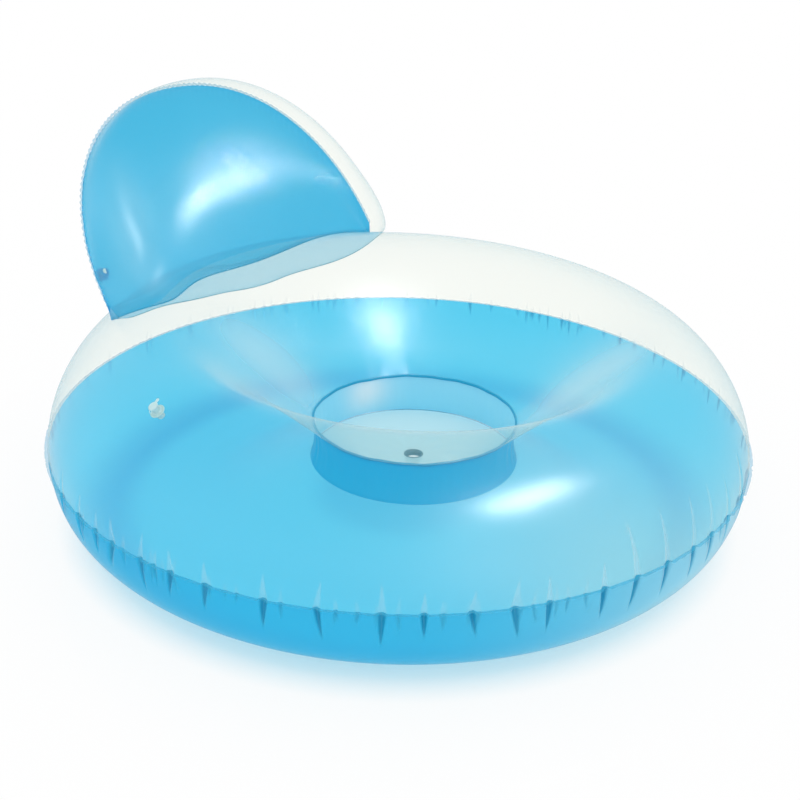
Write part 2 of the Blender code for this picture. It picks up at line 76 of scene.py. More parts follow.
# Sizes that follow from the solids.
OUTER_WELD_WIDTH = 0.006
RIM_WELD_WIDTH = 0.004
RING_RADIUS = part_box("outer_weld")[1].x - OUTER_WELD_WIDTH
WELD_HEIGHT = (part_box("outer_weld")[0].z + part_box("outer_weld")[1].z) / 2
WELL_SPLAY = 0.0036
WELL_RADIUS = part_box("well_wall")[1].x - WELL_SPLAY
WELL_BACK = (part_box("well_wall")[0].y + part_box("well_wall")[1].y) / 2
RIM_HEIGHT = (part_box("well_rim_weld")[0].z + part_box("well_rim_weld")[1].z) / 2
FLOOR_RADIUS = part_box("well_floor_weld")[1].x
FLOOR_HEIGHT = (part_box("well_floor")[0].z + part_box("well_floor")[1].z) / 2
HINGE = np.array(JOINTS["backrest_tilt"]["pos_m"])

# Section of the ring, in shares of its local width.
CREST_RISE_SHARE = 0.457
CREST_PLACE_SHARE = 0.426
OUTER_ARC_POWER = 1.81
FUNNEL_ROUNDING_SHARE = 0.25
BELLY_POWER = 2.49
FOOT_OUTER_SHARE = 0.42
FOOT_INNER_SHARE = 0.49

# Grids: steps round the ring, and rows along its sections.
RING_STEPS = 540
COLUMNS_LARGE = 15
COLUMNS_SMALL = 7
LEAST_STEP = 0.0006
ARC_ROWS = 36
FUNNEL_ROWS = 22
BELLY_ROWS = 40
UNDER_ROWS = 14
BACKREST_STEPS = 420
BACKREST_ROWS = 72

FULL_TURN = 2 * math.pi
QUARTER_TURN = math.pi / 2
RANDOM_SEED = 7


class LoungerSizes(bpy.types.PropertyGroup):
    """Sizes that a user would change."""

    top_gather: bpy.props.FloatProperty(
        name="Gather of the top film", description="Depth of its deepest gathers",
        default=0.0050, unit="LENGTH")
    bottom_gather: bpy.props.FloatProperty(
        name="Gather of the bottom film", description="Depth of its deepest gathers",
        default=0.0100, unit="LENGTH")
    seam_wave: bpy.props.FloatProperty(
        name="Wave of the outer weld", description="How far the weld is drawn in at a gather",
        default=0.0034, unit="LENGTH")
    front_bulge: bpy.props.FloatProperty(
        name="Front bulge", description="How far the backrest's clear film stands out",
        default=0.086, unit="LENGTH")
    back_bulge: bpy.props.FloatProperty(
        name="Back bulge", description="How far the backrest's blue film stands out",
        default=0.045, unit="LENGTH")
    backrest_half_width: bpy.props.FloatProperty(
        name="Half width of the backrest", description="From its middle to its tip",
        default=0.333, unit="LENGTH")
    backrest_height: bpy.props.FloatProperty(
        name="Height of the backrest", description="Along its welded rim's plane",
        default=0.362, unit="LENGTH")
    backrest_tilt: bpy.props.FloatProperty(
        name="Tilt of the backrest", description="Backwards from upright",
        default=math.radians(35.4), subtype="ANGLE")


class LoungerColours(bpy.types.PropertyGroup):
    """Colours of the vinyl, as sRGB hex values."""

    clear: bpy.props.StringProperty(
        name="Clear film", description="What one layer lets through", default="#FDFEFB")
    milk: bpy.props.StringProperty(
        name="Clear body", description="What the clear film's body scatters",
        default="#E6F3EC")
    blue: bpy.props.StringProperty(
        name="Blue film", description="What one layer lets through", default="#58E2FF")
    # Painted shade: the blue film's outer face is given a deeper blue, as where it faces down
    # into shade.
    blue_outside: bpy.props.StringProperty(
        name="Blue body outside", description="What the glossy outer face scatters",
        default="#1EC6E2")
    # Painted light: the blue film's inner face is given a paler blue, as where light from above
    # falls on it.
    blue_inside: bpy.props.StringProperty(
        name="Blue body inside", description="What the matt inner face scatters",
        default="#5AD0FF")
    # Painted shade: the folds' darker blue stands partly for film lying double and partly for
    # shade in the gathers' creases.
    blue_pleat: bpy.props.StringProperty(
        name="Blue pleat", description="Blue film folded over itself", default="#16A2CA")
    # Painted shade: the backrest's blue film is the same vinyl as the ring's, given a deeper
    # blue.
    blue_back: bpy.props.StringProperty(
        name="Blue backrest", description="Both faces of the backrest's blue film",
        default="#35C0EE")
    weld: bpy.props.StringProperty(
        name="Blue weld", description="Two blue films welded flat", default="#3CC0E6")


class LoungerStage(bpy.types.PropertyGroup):
    """Camera and light."""

    camera_place: bpy.props.FloatVectorProperty(
        name="Camera place", description="Where the camera stands",
        default=(-1.601, -1.348, 1.170), subtype="XYZ", unit="LENGTH")
    camera_heading: bpy.props.FloatProperty(
        name="Camera heading", description="Direction of view, from +X towards +Y",
        default=math.atan2(0.644, 0.765), subtype="ANGLE")
    camera_pitch: bpy.props.FloatProperty(
        name="Camera pitch", description="How far it looks down",
        default=math.radians(25.14), subtype="ANGLE")
    camera_roll: bpy.props.FloatProperty(
        name="Camera roll", description="Clockwise turn of the picture's content",
        default=math.radians(1.38), subtype="ANGLE")
    focal_length: bpy.props.FloatProperty(
        name="Focal length", description="In millimetres", default=58.5)
    world_light: bpy.props.FloatProperty(
        name="Light of the surroundings", description="Strength on the object", default=1.0)


SENSOR_WIDTH = 36
PICTURE_SIZE = 800


# ---- colours and nodes ----

def linear(hex_colour, alpha=1.0):
    """An sRGB hex colour as linear red, green, blue and alpha."""
    values = [int(hex_colour[k:k + 2], 16) / 255 for k in (1, 3, 5)]
    flat = [v / 12.92 if v <= 0.04045 else ((v + 0.055) / 1.055) ** 2.4 for v in values]
    return (flat[0], flat[1], flat[2], alpha)


def add_node(tree, kind, inputs=None, **settings):
    """Add a node with its settings. Inputs are values, or sockets to link from."""
    node = tree.nodes.new(kind)
    for name, value in settings.items():
        setattr(node, name, value)
    for key, value in (inputs or {}).items():
        if isinstance(value, bpy.types.NodeSocket):
            tree.links.new(value, node.inputs[key])
        else:
            node.inputs[key].default_value = value
    return node


def start_material(name):
    """A material with an empty node tree and its output."""
    material = bpy.data.materials.new(name)
    material.use_nodes = True
    material.node_tree.nodes.clear()
    return material, material.node_tree, add_node(material.node_tree,
                                                  "ShaderNodeOutputMaterial")


def calculate(tree, operation, *values, **settings):
    """Result of a maths node over values or sockets."""
    return add_node(tree, "ShaderNodeMath", dict(enumerate(values)), operation=operation,
                    **settings).outputs[0]


def mix_colours(tree, share, first, second):
    """Two colours mixed by a share."""
    return add_node(tree, "ShaderNodeMix", {0: share, 6: first, 7: second},
                    data_type="RGBA").outputs[2]


def mix_shaders(tree, share, first, second):
    """Two shaders mixed by a share."""
    return add_node(tree, "ShaderNodeMixShader", {0: share, 1: first, 2: second}).outputs[0]


def noisy_normal(tree, scale, strength, distance):
    """Normals of a surface that noise has roughened, fixed to the object."""
    place = add_node(tree, "ShaderNodeTexCoord").outputs["Object"]
    noise = add_node(tree, "ShaderNodeTexNoise", {"Vector": place, "Scale": scale,
                                                  "Detail": 2.0})
    return add_node(tree, "ShaderNodeBump", {
        "Height": noise.outputs["Fac"], "Strength": strength,
        "Distance": distance}).outputs["Normal"]


def shade(colour):
    """A hex value, or the panel's colour of that name, as a linear colour."""
    colours = bpy.context.scene.lounger_colours
    return linear(colour if colour[0] == "#" else getattr(colours, colour))


# Noise scale, strength and distance of a film's ripples, some 40 mm apart, and of the grain
# on solid vinyl.
FILM_RIPPLES = (22.0, 0.05, 0.01)
GRAIN_SCALE = 900.0
GRAIN_DISTANCE = 0.0002
# What a film mirrors edge on: its fine ripples keep it well under a flat sheet's whole.
GRAZING_MIRROR = 0.35
# Powers of the slant at which a film mirrors, scatters and takes its edge-on colour.
MIRROR_POWER = 5.0
EDGE_POWER = 4.0
EDGE_COLOUR_POWER = 14.0
TRANSLUCENT_SHARE = 0.3


def film_material(name, through, scatters, shares, roughness, mirror_ior):
    """Calendered soft vinyl film about 0.3 mm thick.

    Most light passes straight through and takes the film's colour. A share is scattered by
    the film's body: more where the film is seen edge on, in the folds at a weld, where it
    lies on itself and where its darker colour is partly painted shade, and in patches of
    painted light, which stand for reflections and highlights. Each of these scatters a colour
    of its own, and so do the outer and the inner face: on a blue film the inner face's paler
    colour is painted light and the outer face's deeper colour painted shade. The smooth
    surface mirrors more at a slant, alike from both sides, and shallow ripples break the
    mirror images up.
    """
    outside, inside, pleat, bloomed, edge_on = (shade(colour) for colour in scatters)
    body_share, edge_share, fold_shading_share, bloom_share = shares
    material, tree, output = start_material(name)
    normal = noisy_normal(tree, *FILM_RIPPLES)
    fold_shading_mask, white = (add_node(tree, "ShaderNodeAttribute", attribute_name=mark).outputs["Fac"]
                     for mark in ("pleat", "bloom"))
    side = add_node(tree, "ShaderNodeNewGeometry").outputs["Backfacing"]
    facing = add_node(tree, "ShaderNodeLayerWeight",
                      {"Blend": 0.5, "Normal": normal}).outputs["Facing"]
    # Painted light and shade mixed into the colour: a blue film's paler inner and deeper outer
    # face, patches of painted light, and folds partly darkened as painted shade.
    colour = mix_colours(tree, side, outside, inside)
    # Painted light: patches that stand for reflections and highlights turn the colour paler
    # here.
    colour = mix_colours(tree, white, colour, bloomed)
    colour = mix_colours(tree, fold_shading_mask, colour, pleat)
    colour = mix_colours(tree, calculate(tree, "POWER", facing, EDGE_COLOUR_POWER), colour,
                         edge_on)
    clear = add_node(tree, "ShaderNodeBsdfTransparent", {"Color": shade(through)})
    diffuse = add_node(tree, "ShaderNodeBsdfDiffuse", {"Color": colour, "Normal": normal})
    glow = add_node(tree, "ShaderNodeBsdfTranslucent", {"Color": colour})
    scatter = mix_shaders(tree, TRANSLUCENT_SHARE, diffuse.outputs[0], glow.outputs[0])
    edge = calculate(tree, "POWER", facing, EDGE_POWER)
    share = calculate(tree, "MULTIPLY_ADD", edge, edge_share, body_share)
    share = calculate(tree, "MULTIPLY_ADD", fold_shading_mask, fold_shading_share, share)
    share = calculate(tree, "MULTIPLY_ADD", white, bloom_share, share, use_clamp=True)
    film = mix_shaders(tree, share, clear.outputs[0], scatter)
    mirror = add_node(tree, "ShaderNodeBsdfAnisotropic", {
        "Color": (1.0, 1.0, 1.0, 1.0), "Roughness": roughness, "Normal": normal})
    straight = ((mirror_ior - 1) / (mirror_ior + 1)) ** 2
    fresnel = calculate(tree, "MULTIPLY_ADD",
                        calculate(tree, "POWER", facing, MIRROR_POWER), GRAZING_MIRROR,
                        straight)
    surface = mix_shaders(tree, fresnel, film, mirror.outputs[0])
    tree.links.new(surface, output.inputs["Surface"])
    return material


def solid_material(name, colour, roughness, alpha, grain):
    """Moulded or welded soft vinyl, thick enough to have a body: satin, with a fine grain."""
    material, tree, output = start_material(name)
    shader = add_node(tree, "ShaderNodeBsdfPrincipled", {
        "Base Color": shade(colour), "Roughness": roughness, "Alpha": alpha, "IOR": 1.53,
        "Normal": noisy_normal(tree, GRAIN_SCALE, grain, GRAIN_DISTANCE)})
    tree.links.new(shader.outputs[0], output.inputs["Surface"])
    return material


# Films: what each lets through; what it scatters outside, inside, in a fold (darker partly as
# painted shade), in a patch of painted light and edge on; its shares of body, edge, fold and
# painted light; roughness; index of refraction.
FILMS = {
    # Clear film: faintly green and milky, whiter where it is seen edge on.
    "clear_soft_vinyl_film": (
        "clear", ("milk", "milk", "#E8F8FF", "#F2FAF6", "#86BCC8"),
        (0.015, 0.55, 0.40, 0.42), 0.27, 1.36),
    # Blue film: its deeper outer face is painted shade, its paler inner face painted light.
    "blue_soft_vinyl_film": (
        "blue", ("blue_outside", "blue_inside", "blue_pleat", "#C0F0FA", "#0A8DBA"),
        (0.45, 0.30, 0.55, 0.25), 0.50, 1.5),
    # Blue film of the backrest: the ring's blue vinyl, given a deeper blue as painted shade.
    "shaded_blue_soft_vinyl_film": (
        "blue_back", ("blue_back", "blue_back", "blue_pleat", "#A6E2FA", "#0A8DBA"),
        (0.45, 0.25, 0.55, 0.20), 0.50, 1.40),
    # Wall film of the well: pale on the sitter's side as painted light, deep blue on the ring's
    # side as painted shade, with a patch of painted reflection.
    "blue_soft_vinyl_wall": (
        "blue", ("#A8EEFF", "#00BEEC", "#00BEEC", "#F4FDFF", "#0A8DBA"),
        (0.92, 0.08, 0.0, 0.08), 0.35, 1.30),
    # Floor film of the well: clear vinyl with more milk in it.
    "pale_soft_vinyl_film": (
        "clear", ("#D4FAFF",) * 4 + ("#BCD8D4",), (0.80, 0.15, 0.0, 0.0), 0.25, 1.5),
    # Base film under the backrest: clear vinyl that scatters pale blue.
    "pale_blue_soft_vinyl_film": (
        "clear", ("#9CE0F8",) * 4 + ("#6FB4C8",), (0.62, 0.20, 0.0, 0.0), 0.25, 1.5),
}
# Solid vinyl: colour, roughness, alpha and strength of the grain.
SOLIDS = {
    # Blue and clear film welded flat: darker than one film, with a satin face.
    "welded_blue_vinyl": ("weld", 0.3, 0.3, 0.1),
    # Clear and blue film welded flat round the well: darker, because light runs along it.
    "welded_rim_vinyl": ("#08A8D4", 0.35, 0.90, 0.1),
    # Bead where the clear film is welded to the ring: grey-teal, because it is thick.
    "welded_hem_bead": ("#7FC0D0", 0.35, 0.8, 0.1),
    # Moulded grommet of the drain, grey-green and matt: its dark colour and sleeve are painted
    # shade, standing for the shade under the well seen through the hole.
    "grommet_vinyl_painted_shade": ("#56868E", 0.55, 1.0, 0.2),
    # Moulded valves: pale blue-green, satin, slightly see-through.
    "moulded_white_vinyl": ("#CDF0F4", 0.32, 0.9, 0.15),
}


def vinyl(name):
    """The vinyl of this name, made when it is first asked for."""
    if name in bpy.data.materials:
        return bpy.data.materials[name]
    if name in SOLIDS:
        return solid_material(name, *SOLIDS[name])
    return film_material(name, *FILMS[name])


# ---- meshes ----

def grid_object(name, points, material, wrap_columns=False, wrap_rows=False, flip=False,
                **marks):
    """A mesh over a grid of points, rows by columns, closed where it wraps.

    Marks say, from 0 to 1 at each point, where the film is folded over itself, with painted
    shade in the fold, and where it has patches of painted light.
    """
    rows, columns = points.shape[:2]
    index = np.arange(rows * columns).reshape(rows, columns)
    if wrap_rows:
        index = np.vstack([index, index[:1]])
    if wrap_columns:
        index = np.hstack([index, index[:, :1]])
    quads = np.stack([index[:-1, :-1], index[:-1, 1:], index[1:, 1:], index[1:, :-1]], -1)
    quads = quads.reshape(-1, 4)
    if flip:
        quads = quads[:, ::-1]
    mesh = bpy.data.meshes.new(name)
    mesh.vertices.add(rows * columns)
    mesh.vertices.foreach_set("co", points.reshape(-1).astype(np.float32))
    mesh.loops.add(quads.size)
    mesh.loops.foreach_set("vertex_index", quads.reshape(-1).astype(np.int32))
    mesh.polygons.add(len(quads))
    mesh.polygons.foreach_set("loop_start", np.arange(0, quads.size, 4, dtype=np.int32))
    mesh.update(calc_edges=True)
    mesh.validate()
    for mark, values in marks.items():
        layer = mesh.attributes.new(mark, "FLOAT", "POINT")
        layer.data.foreach_set("value", values.reshape(-1).astype(np.float32))
    close_poles(mesh)
    mesh.shade_smooth()
    mesh.materials.append(material)
    return add_object(name, mesh)


def add_object(name, data):
    """A new object in the scene."""
    item = bpy.data.objects.new(name, data)
    bpy.context.scene.collection.objects.link(item)
    return item


def close_poles(mesh):
    """Merge points that coincide, as at a pole or a tip."""
    shape = bmesh.new()
    shape.from_mesh(mesh)
    bmesh.ops.remove_doubles(shape, verts=shape.verts, dist=0.000001)
    shape.to_mesh(mesh)
    shape.free()


def put(item, body, slot, *nodes):
    """Let a finished piece ride on a body, in place of the solids that it stands for."""
    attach(item, body)
    if nodes:
        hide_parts(*nodes)
    return item


def unit(vectors):
    """Vectors at length 1."""
    return vectors / np.maximum(np.linalg.norm(vectors, axis=-1, keepdims=True), 1e-12)


def grid_normals(points, wrap_columns):
    """Outward normals of a grid, from the cross product of its two directions."""
    if wrap_columns:
        along = np.roll(points, -1, 1) - np.roll(points, 1, 1)
    else:
        along = np.gradient(points, axis=1)
    return unit(np.cross(along, np.gradient(points, axis=0)))


def circle(count):
    """Evenly spaced angles of a full turn."""
    return np.linspace(0, FULL_TURN, count, endpoint=False)


def spokes(theta):
    """Level directions at angles about +Z."""
    return np.stack([np.cos(theta), np.sin(theta), np.zeros(len(theta))], -1)


def path_lengths(path):
    """How far along a path each of its points lies."""
    return np.concatenate([[0], np.cumsum(np.linalg.norm(np.diff(path, axis=0), axis=-1))])


# ---- camera geometry ----

def camera_axes():
    """Right, up and forward of the camera, rolled as the photograph is."""
    stage = bpy.context.scene.lounger_stage
    heading, pitch, roll = stage.camera_heading, stage.camera_pitch, stage.camera_roll
    flat = np.array([math.cos(heading), math.sin(heading), 0.0])
    forward = math.cos(pitch) * flat + np.array([0, 0, -math.sin(pitch)])
    right = np.array([flat[1], -flat[0], 0.0])
    up = np.cross(right, forward)
    return (math.cos(roll) * right + math.sin(roll) * up,
            math.cos(roll) * up - math.sin(roll) * right, forward)


def picture_place(points):
    """Pixel position of points in the 800 by 800 picture."""
    stage = bpy.context.scene.lounger_stage
    right, up, forward = camera_axes()
    away = points - np.array(stage.camera_place)
    scale = PICTURE_SIZE * stage.focal_length / SENSOR_WIDTH / (away @ forward)
    half = PICTURE_SIZE / 2
    return np.stack([half + scale * (away @ right), half - scale * (away @ up)], -1)


# ---- the ring ----

def ring_plan(theta, share, inner_radius):
    """Plan points on the lines from the outer weld to the well, and the lines' lengths.

    Point = (1 - share) R e(theta) + share (r e(theta) + c), where R and r are the two
    radii, e the spoke and c the well's centre.
    """
    spoke = np.stack([np.cos(theta), np.sin(theta)], -1)
    centre = np.array([0.0, WELL_BACK])
    outer = RING_RADIUS * spoke
    inner = inner_radius * spoke + centre
    plan = outer + share[..., None] * (inner - outer)
    return plan, np.linalg.norm(outer - inner, axis=-1)


def arc_shares(turn, power):
    """A superellipse quadrant: 1 - cos(turn) ** (2 / power) and sin(turn) ** (2 / power)."""
    return 1 - np.cos(turn) ** (2 / power), np.sin(turn) ** (2 / power)


def funnel_share(step):
    """From 1 at the crest to 0 at the well, as a hyperbola that soon runs straight."""
    rounding = FUNNEL_ROUNDING_SHARE
    drop = np.hypot(step, rounding) - rounding
    return 1 - drop / (math.hypot(1, rounding) - rounding)


def ring_height(across, back):
    """Height of the top film at plan places.

    The share of the way from the outer weld to the well solves
    |P - share c| = R - share (R - r), and the section then gives the height.
    """
    across, back = np.asarray(across, float), np.asarray(back, float)
    width = RING_RADIUS - WELL_RADIUS
    a = WELL_BACK ** 2 - width ** 2
    b = 2 * (RING_RADIUS * width - back * WELL_BACK)
    c = across ** 2 + back ** 2 - RING_RADIUS ** 2
    share = (-b + np.sqrt(b ** 2 - 4 * a * c)) / (2 * a)
    reach = RING_RADIUS - share * width
    theta = np.arctan2((back - share * WELL_BACK) / reach, across / reach)
    _, length = ring_plan(theta, share, WELL_RADIUS)
    part = np.clip(1 - share / CREST_PLACE_SHARE, 0, 1)
    turn = np.arccos(part ** (OUTER_ARC_POWER / 2))
    outer_height = WELD_HEIGHT + length * CREST_RISE_SHARE * np.sin(turn) ** (
        2 / OUTER_ARC_POWER)
    crest = WELD_HEIGHT + length * CREST_RISE_SHARE
    step = (share - CREST_PLACE_SHARE) / (1 - CREST_PLACE_SHARE)
    funnel_height = RIM_HEIGHT + (crest - RIM_HEIGHT) * funnel_share(np.maximum(step, 0))
    return np.where(share < CREST_PLACE_SHARE, outer_height, funnel_height)


def ring_angles(gathers):
    """Angles of the ring's columns: evenly spaced ones, and close ones across each gather."""
    angles = [np.arange(RING_STEPS) * FULL_TURN / RING_STEPS]
    for angle, depth, length, half_width, lean in gathers:
        count = COLUMNS_LARGE if depth > 0.5 else COLUMNS_SMALL
        reach = 1.5 * half_width / RING_RADIUS
        angles.append(angle + np.linspace(-reach, reach, count))
    angles = np.sort(np.concatenate(angles) % FULL_TURN)
    apart = np.diff(angles, append=angles[0] + FULL_TURN)
    return angles[apart > LEAST_STEP / RING_RADIUS]


def row_distance(points):
    """How far each row lies from the first, along the surface."""
    steps = np.linalg.norm(np.diff(points, axis=0), axis=-1)
    return np.vstack([np.zeros(points.shape[1]), np.cumsum(steps, axis=0)])


# Picture columns where the deep gathers of the near weld stand.
GATHER_COLUMNS_PX = (62, 78, 95, 112, 140, 170, 205, 263, 316, 382, 424, 472, 515, 550, 605,
                     638, 668, 694, 712, 728, 741, 749)
FAR_GATHER_SPACING = 9.0
SMOOTH_FAR_COLUMN_PX = 430
SMALL_GATHERS = 110
LONG_GATHERS = 7
LONGEST_BELLY_GATHER = 0.060
NEAR_WELD_DEGREES = (128, 314)
SMOOTH_FAR_DEPTH_SHARE = 0.12
# Least and greatest depth, length and half width of the near, the far and the small gathers.
GATHER_RANGES = (
    ((0.7, 1.0), (0.30, 0.55), (0.12, 0.42)),
    ((0.040, 0.062), (0.018, 0.032), (0.012, 0.035)),
    ((0.0055, 0.0075), (0.0035, 0.0050), (0.0030, 0.0050)))


def weld_columns(theta):
    """Picture columns of points on the outer weld."""
    points = RING_RADIUS * spokes(theta)
    points[:, 2] = WELD_HEIGHT
    return picture_place(points)[:, 0]


def ring_gathers():
    """Gathers of the outer weld: angle, depth share, length, half width and lean of each.

    The near ones stand where the picture shows them. The far ones keep an uneven spacing of
    about nine degrees. Small ones lie between.
    """
    dice = np.random.default_rng(RANDOM_SEED)
    near = np.radians(np.linspace(*NEAR_WELD_DEGREES, 900))
    columns = weld_columns(near)
    rising = slice(int(np.argmin(columns)), int(np.argmax(columns)) + 1)
    front = np.interp(GATHER_COLUMNS_PX, columns[rising], near[rising])
    first, last = NEAR_WELD_DEGREES
    count = int(round((360 - (last - first)) / FAR_GATHER_SPACING))
    spacing = dice.uniform(0.6, 1.4, count)
    far = front[-1] + np.cumsum(spacing) / (spacing.sum() + 1) * (
        FULL_TURN - (front[-1] - front[0]))
    large = np.concatenate([front, far])
    small = dice.uniform(0, FULL_TURN, SMALL_GATHERS)
    angle = np.concatenate([large, small])
    counts = (len(front), len(far), len(small))
    depth, length, half_width = (
        np.concatenate([dice.uniform(*span, number) for span, number in zip(spans, counts)])
        for spans in GATHER_RANGES)
    length[:len(front)][-LONG_GATHERS:] *= 2
    lean = dice.normal(0, 0.10, len(angle))
    behind = np.abs((angle - near.mean() + math.pi) % FULL_TURN - math.pi) > np.ptp(near) / 2
    depth[behind & (weld_columns(angle) < SMOOTH_FAR_COLUMN_PX)] *= SMOOTH_FAR_DEPTH_SHARE
    return np.stack([angle, depth, length, half_width, lean], -1)


def gather_field(theta, distance, gathers, length_share):
    """How far gathers draw a film in, as a share of the deepest, and where it is folded.

    Each is a V with its point away from the weld: its reach falls evenly to nothing over
    its length. Across it the film dips as (1 - x^2)^2 and swells a little on both sides.
    The folded share is 1 inside the V, with a soft edge; the film's colour shows it as a fold
    partly darkened with painted shade.
    """
    total, fold_shading_mask = np.zeros(distance.shape), np.zeros(distance.shape)
    for angle, depth, length, half_width, lean in gathers:
        offset = (theta - angle + math.pi) % FULL_TURN - math.pi
        offset = offset * RING_RADIUS - lean * distance
        fade = np.clip(1 - distance / (length * length_share), 0, 1)
        reach = half_width * (0.12 + 0.88 * fade)
        across = np.abs(offset) / reach
        dip = np.clip(1 - (0.72 * across) ** 2, 0, 1) ** 2
        swell = 0.20 * np.exp(-(offset / (3.0 * half_width)) ** 2)
        total += depth * (fade ** 0.8 * dip - fade * swell)
        inside = np.clip((1.15 - across) / 0.45, 0, 1) * np.clip(fade * 6, 0, 1)
        fold_shading_mask = np.maximum(fold_shading_mask, min(1, 0.35 + depth) * inside)
    return total, fold_shading_mask


# Height that the weld is moved by, as a share of how far it is drawn in, and the reach over
# which a film comes to follow it.
SEAM_RISE_SHARE = 0.5
SEAM_REACH = 0.005


def seam_shift(theta, gathers):
    """How far the weld line is drawn towards the ring's middle, and down, at each angle."""
    field, _ = gather_field(theta[None, :], np.zeros((1, len(theta))), gathers, 1.0)
    wave = bpy.context.scene.lounger_sizes.seam_wave
    return -wave * field[0][:, None] * (spokes(theta) - np.array([0, 0, SEAM_RISE_SHARE]))


def with_gathers(points, theta, gathers, depth, length_share):
    """Draw a ring film in along its normals, and let it meet the weld's wave at its edge."""
    distance = row_distance(points)
    normals = grid_normals(points, True)
    field, fold_shading_mask = gather_field(theta[None, :], distance, gathers, length_share)
    at_edge = np.exp(-distance / SEAM_REACH)
    moved = points - (depth * field * (1 - at_edge))[..., None] * normals
    return moved + seam_shift(theta, gathers)[None] * at_edge[..., None], fold_shading_mask


def ring_top_points(theta):
    """Top film: outer superellipse arc up to the crest, then the funnel down to the well."""
    turn = QUARTER_TURN * np.linspace(0, 1, ARC_ROWS) ** 1.35
    place, rise = arc_shares(turn, OUTER_ARC_POWER)
    share = CREST_PLACE_SHARE * place
    step = np.linspace(0, 1, FUNNEL_ROWS + 1)[1:]
    share = np.concatenate([share, CREST_PLACE_SHARE + (1 - CREST_PLACE_SHARE) * step])
    plan, length = ring_plan(theta[None, :], share[:, None] + 0 * theta, WELL_RADIUS)
    length = length[0]
    arc = WELD_HEIGHT + rise[:, None] * CREST_RISE_SHARE * length
    crest = WELD_HEIGHT + CREST_RISE_SHARE * length
    funnel = RIM_HEIGHT + (crest - RIM_HEIGHT) * funnel_share(step)[:, None]
    return np.concatenate([plan, np.vstack([arc, funnel])[..., None]], -1)


FUNNEL_FOLDS = 26
# Least and greatest half width, length and depth of the funnel's folds.
FUNNEL_FOLD_RANGES = ((0.006, 0.011), (0.035, 0.080), (0.0008, 0.0024))


def funnel_folds(points, theta):
    """Shallow folds that run up the funnel from the rim weld and fade before the crest."""
    dice = np.random.default_rng(RANDOM_SEED + 1)
    distance = row_distance(points[::-1])[::-1]
    total = np.zeros(distance.shape)
    for angle in circle(FUNNEL_FOLDS) + dice.uniform(-0.08, 0.08, FUNNEL_FOLDS):
        offset = ((theta - angle + math.pi) % FULL_TURN - math.pi) * WELL_RADIUS
        reach, length, depth = (dice.uniform(*span) for span in FUNNEL_FOLD_RANGES)
        fade = np.clip(1 - distance / length, 0, 1) ** 1.5
        total += depth * fade * np.exp(-(offset / (reach + 0.15 * distance)) ** 2)
    rim = 1 - np.exp(-distance / 0.004)
    return points - (total * rim)[..., None] * grid_normals(points, True)


# Painted light on the films: x, y, reach and strength of soft round patches. They stand for
# reflections of the white surroundings on the funnel, light through the belly at its right
# and a highlight on the backrest's left.
FUNNEL_PAINTED_REFLECTIONS = ((-0.105, 0.18, 0.05, 1.4), (-0.145, 0.225, 0.05, 1.1),
                 (-0.13, 0.21, 0.12, 0.55), (0.15, -0.26, 0.05, 1.1),
                 (0.185, -0.32, 0.05, 0.9), (0.17, -0.29, 0.12, 0.5),
                 (-0.20, -0.55, 0.16, 0.36), (-0.45, 0.25, 0.15, 0.14))
BELLY_PAINTED_LIGHT = ((0.10, -0.60, 0.30, 1.8),)
BACKREST_PAINTED_HIGHLIGHTS = ((-0.17, 0.50, 0.04, 0.5), (-0.21, 0.45, 0.04, 0.6),
                   (-0.25, 0.39, 0.05, 0.6))


def bloom(points, patches):
    """How much painted light a film has, from 0 to 1: soft round patches that fade together."""
    total = np.zeros(points.shape[:2])
    for x, y, reach, strength in patches:
        away = (points[..., 0] - x) ** 2 + (points[..., 1] - y) ** 2
        total += strength * np.exp(-away / reach ** 2)
    return 1 - np.exp(-total)


def ring_bottom_points(theta):
    """Bottom film: belly arc down to the flat foot, then up under the seat to the floor weld."""
    turn = QUARTER_TURN * np.linspace(0, 1, BELLY_ROWS) ** 1.25
    place, fall = arc_shares(turn, BELLY_POWER)
    step = np.linspace(0, 1, UNDER_ROWS)
    share = np.concatenate([FOOT_OUTER_SHARE * place,
                            FOOT_INNER_SHARE + (1 - FOOT_INNER_SHARE) * step])
    plan, length = ring_plan(theta[None, :], share[:, None] + 0 * theta, FLOOR_RADIUS)
    belly = WELD_HEIGHT * (1 - fall)
    under = FLOOR_HEIGHT * (1 - funnel_share(step))
    height = np.concatenate([belly, under])[:, None] + 0 * theta
    return np.concatenate([plan, height[..., None]], -1)


# How strongly the clear film shows its pleats, and how far its gathers run up for their length.
TOP_FOLD_SHADING_SHARE = 0.45
TOP_LENGTH_SHARE = 0.75


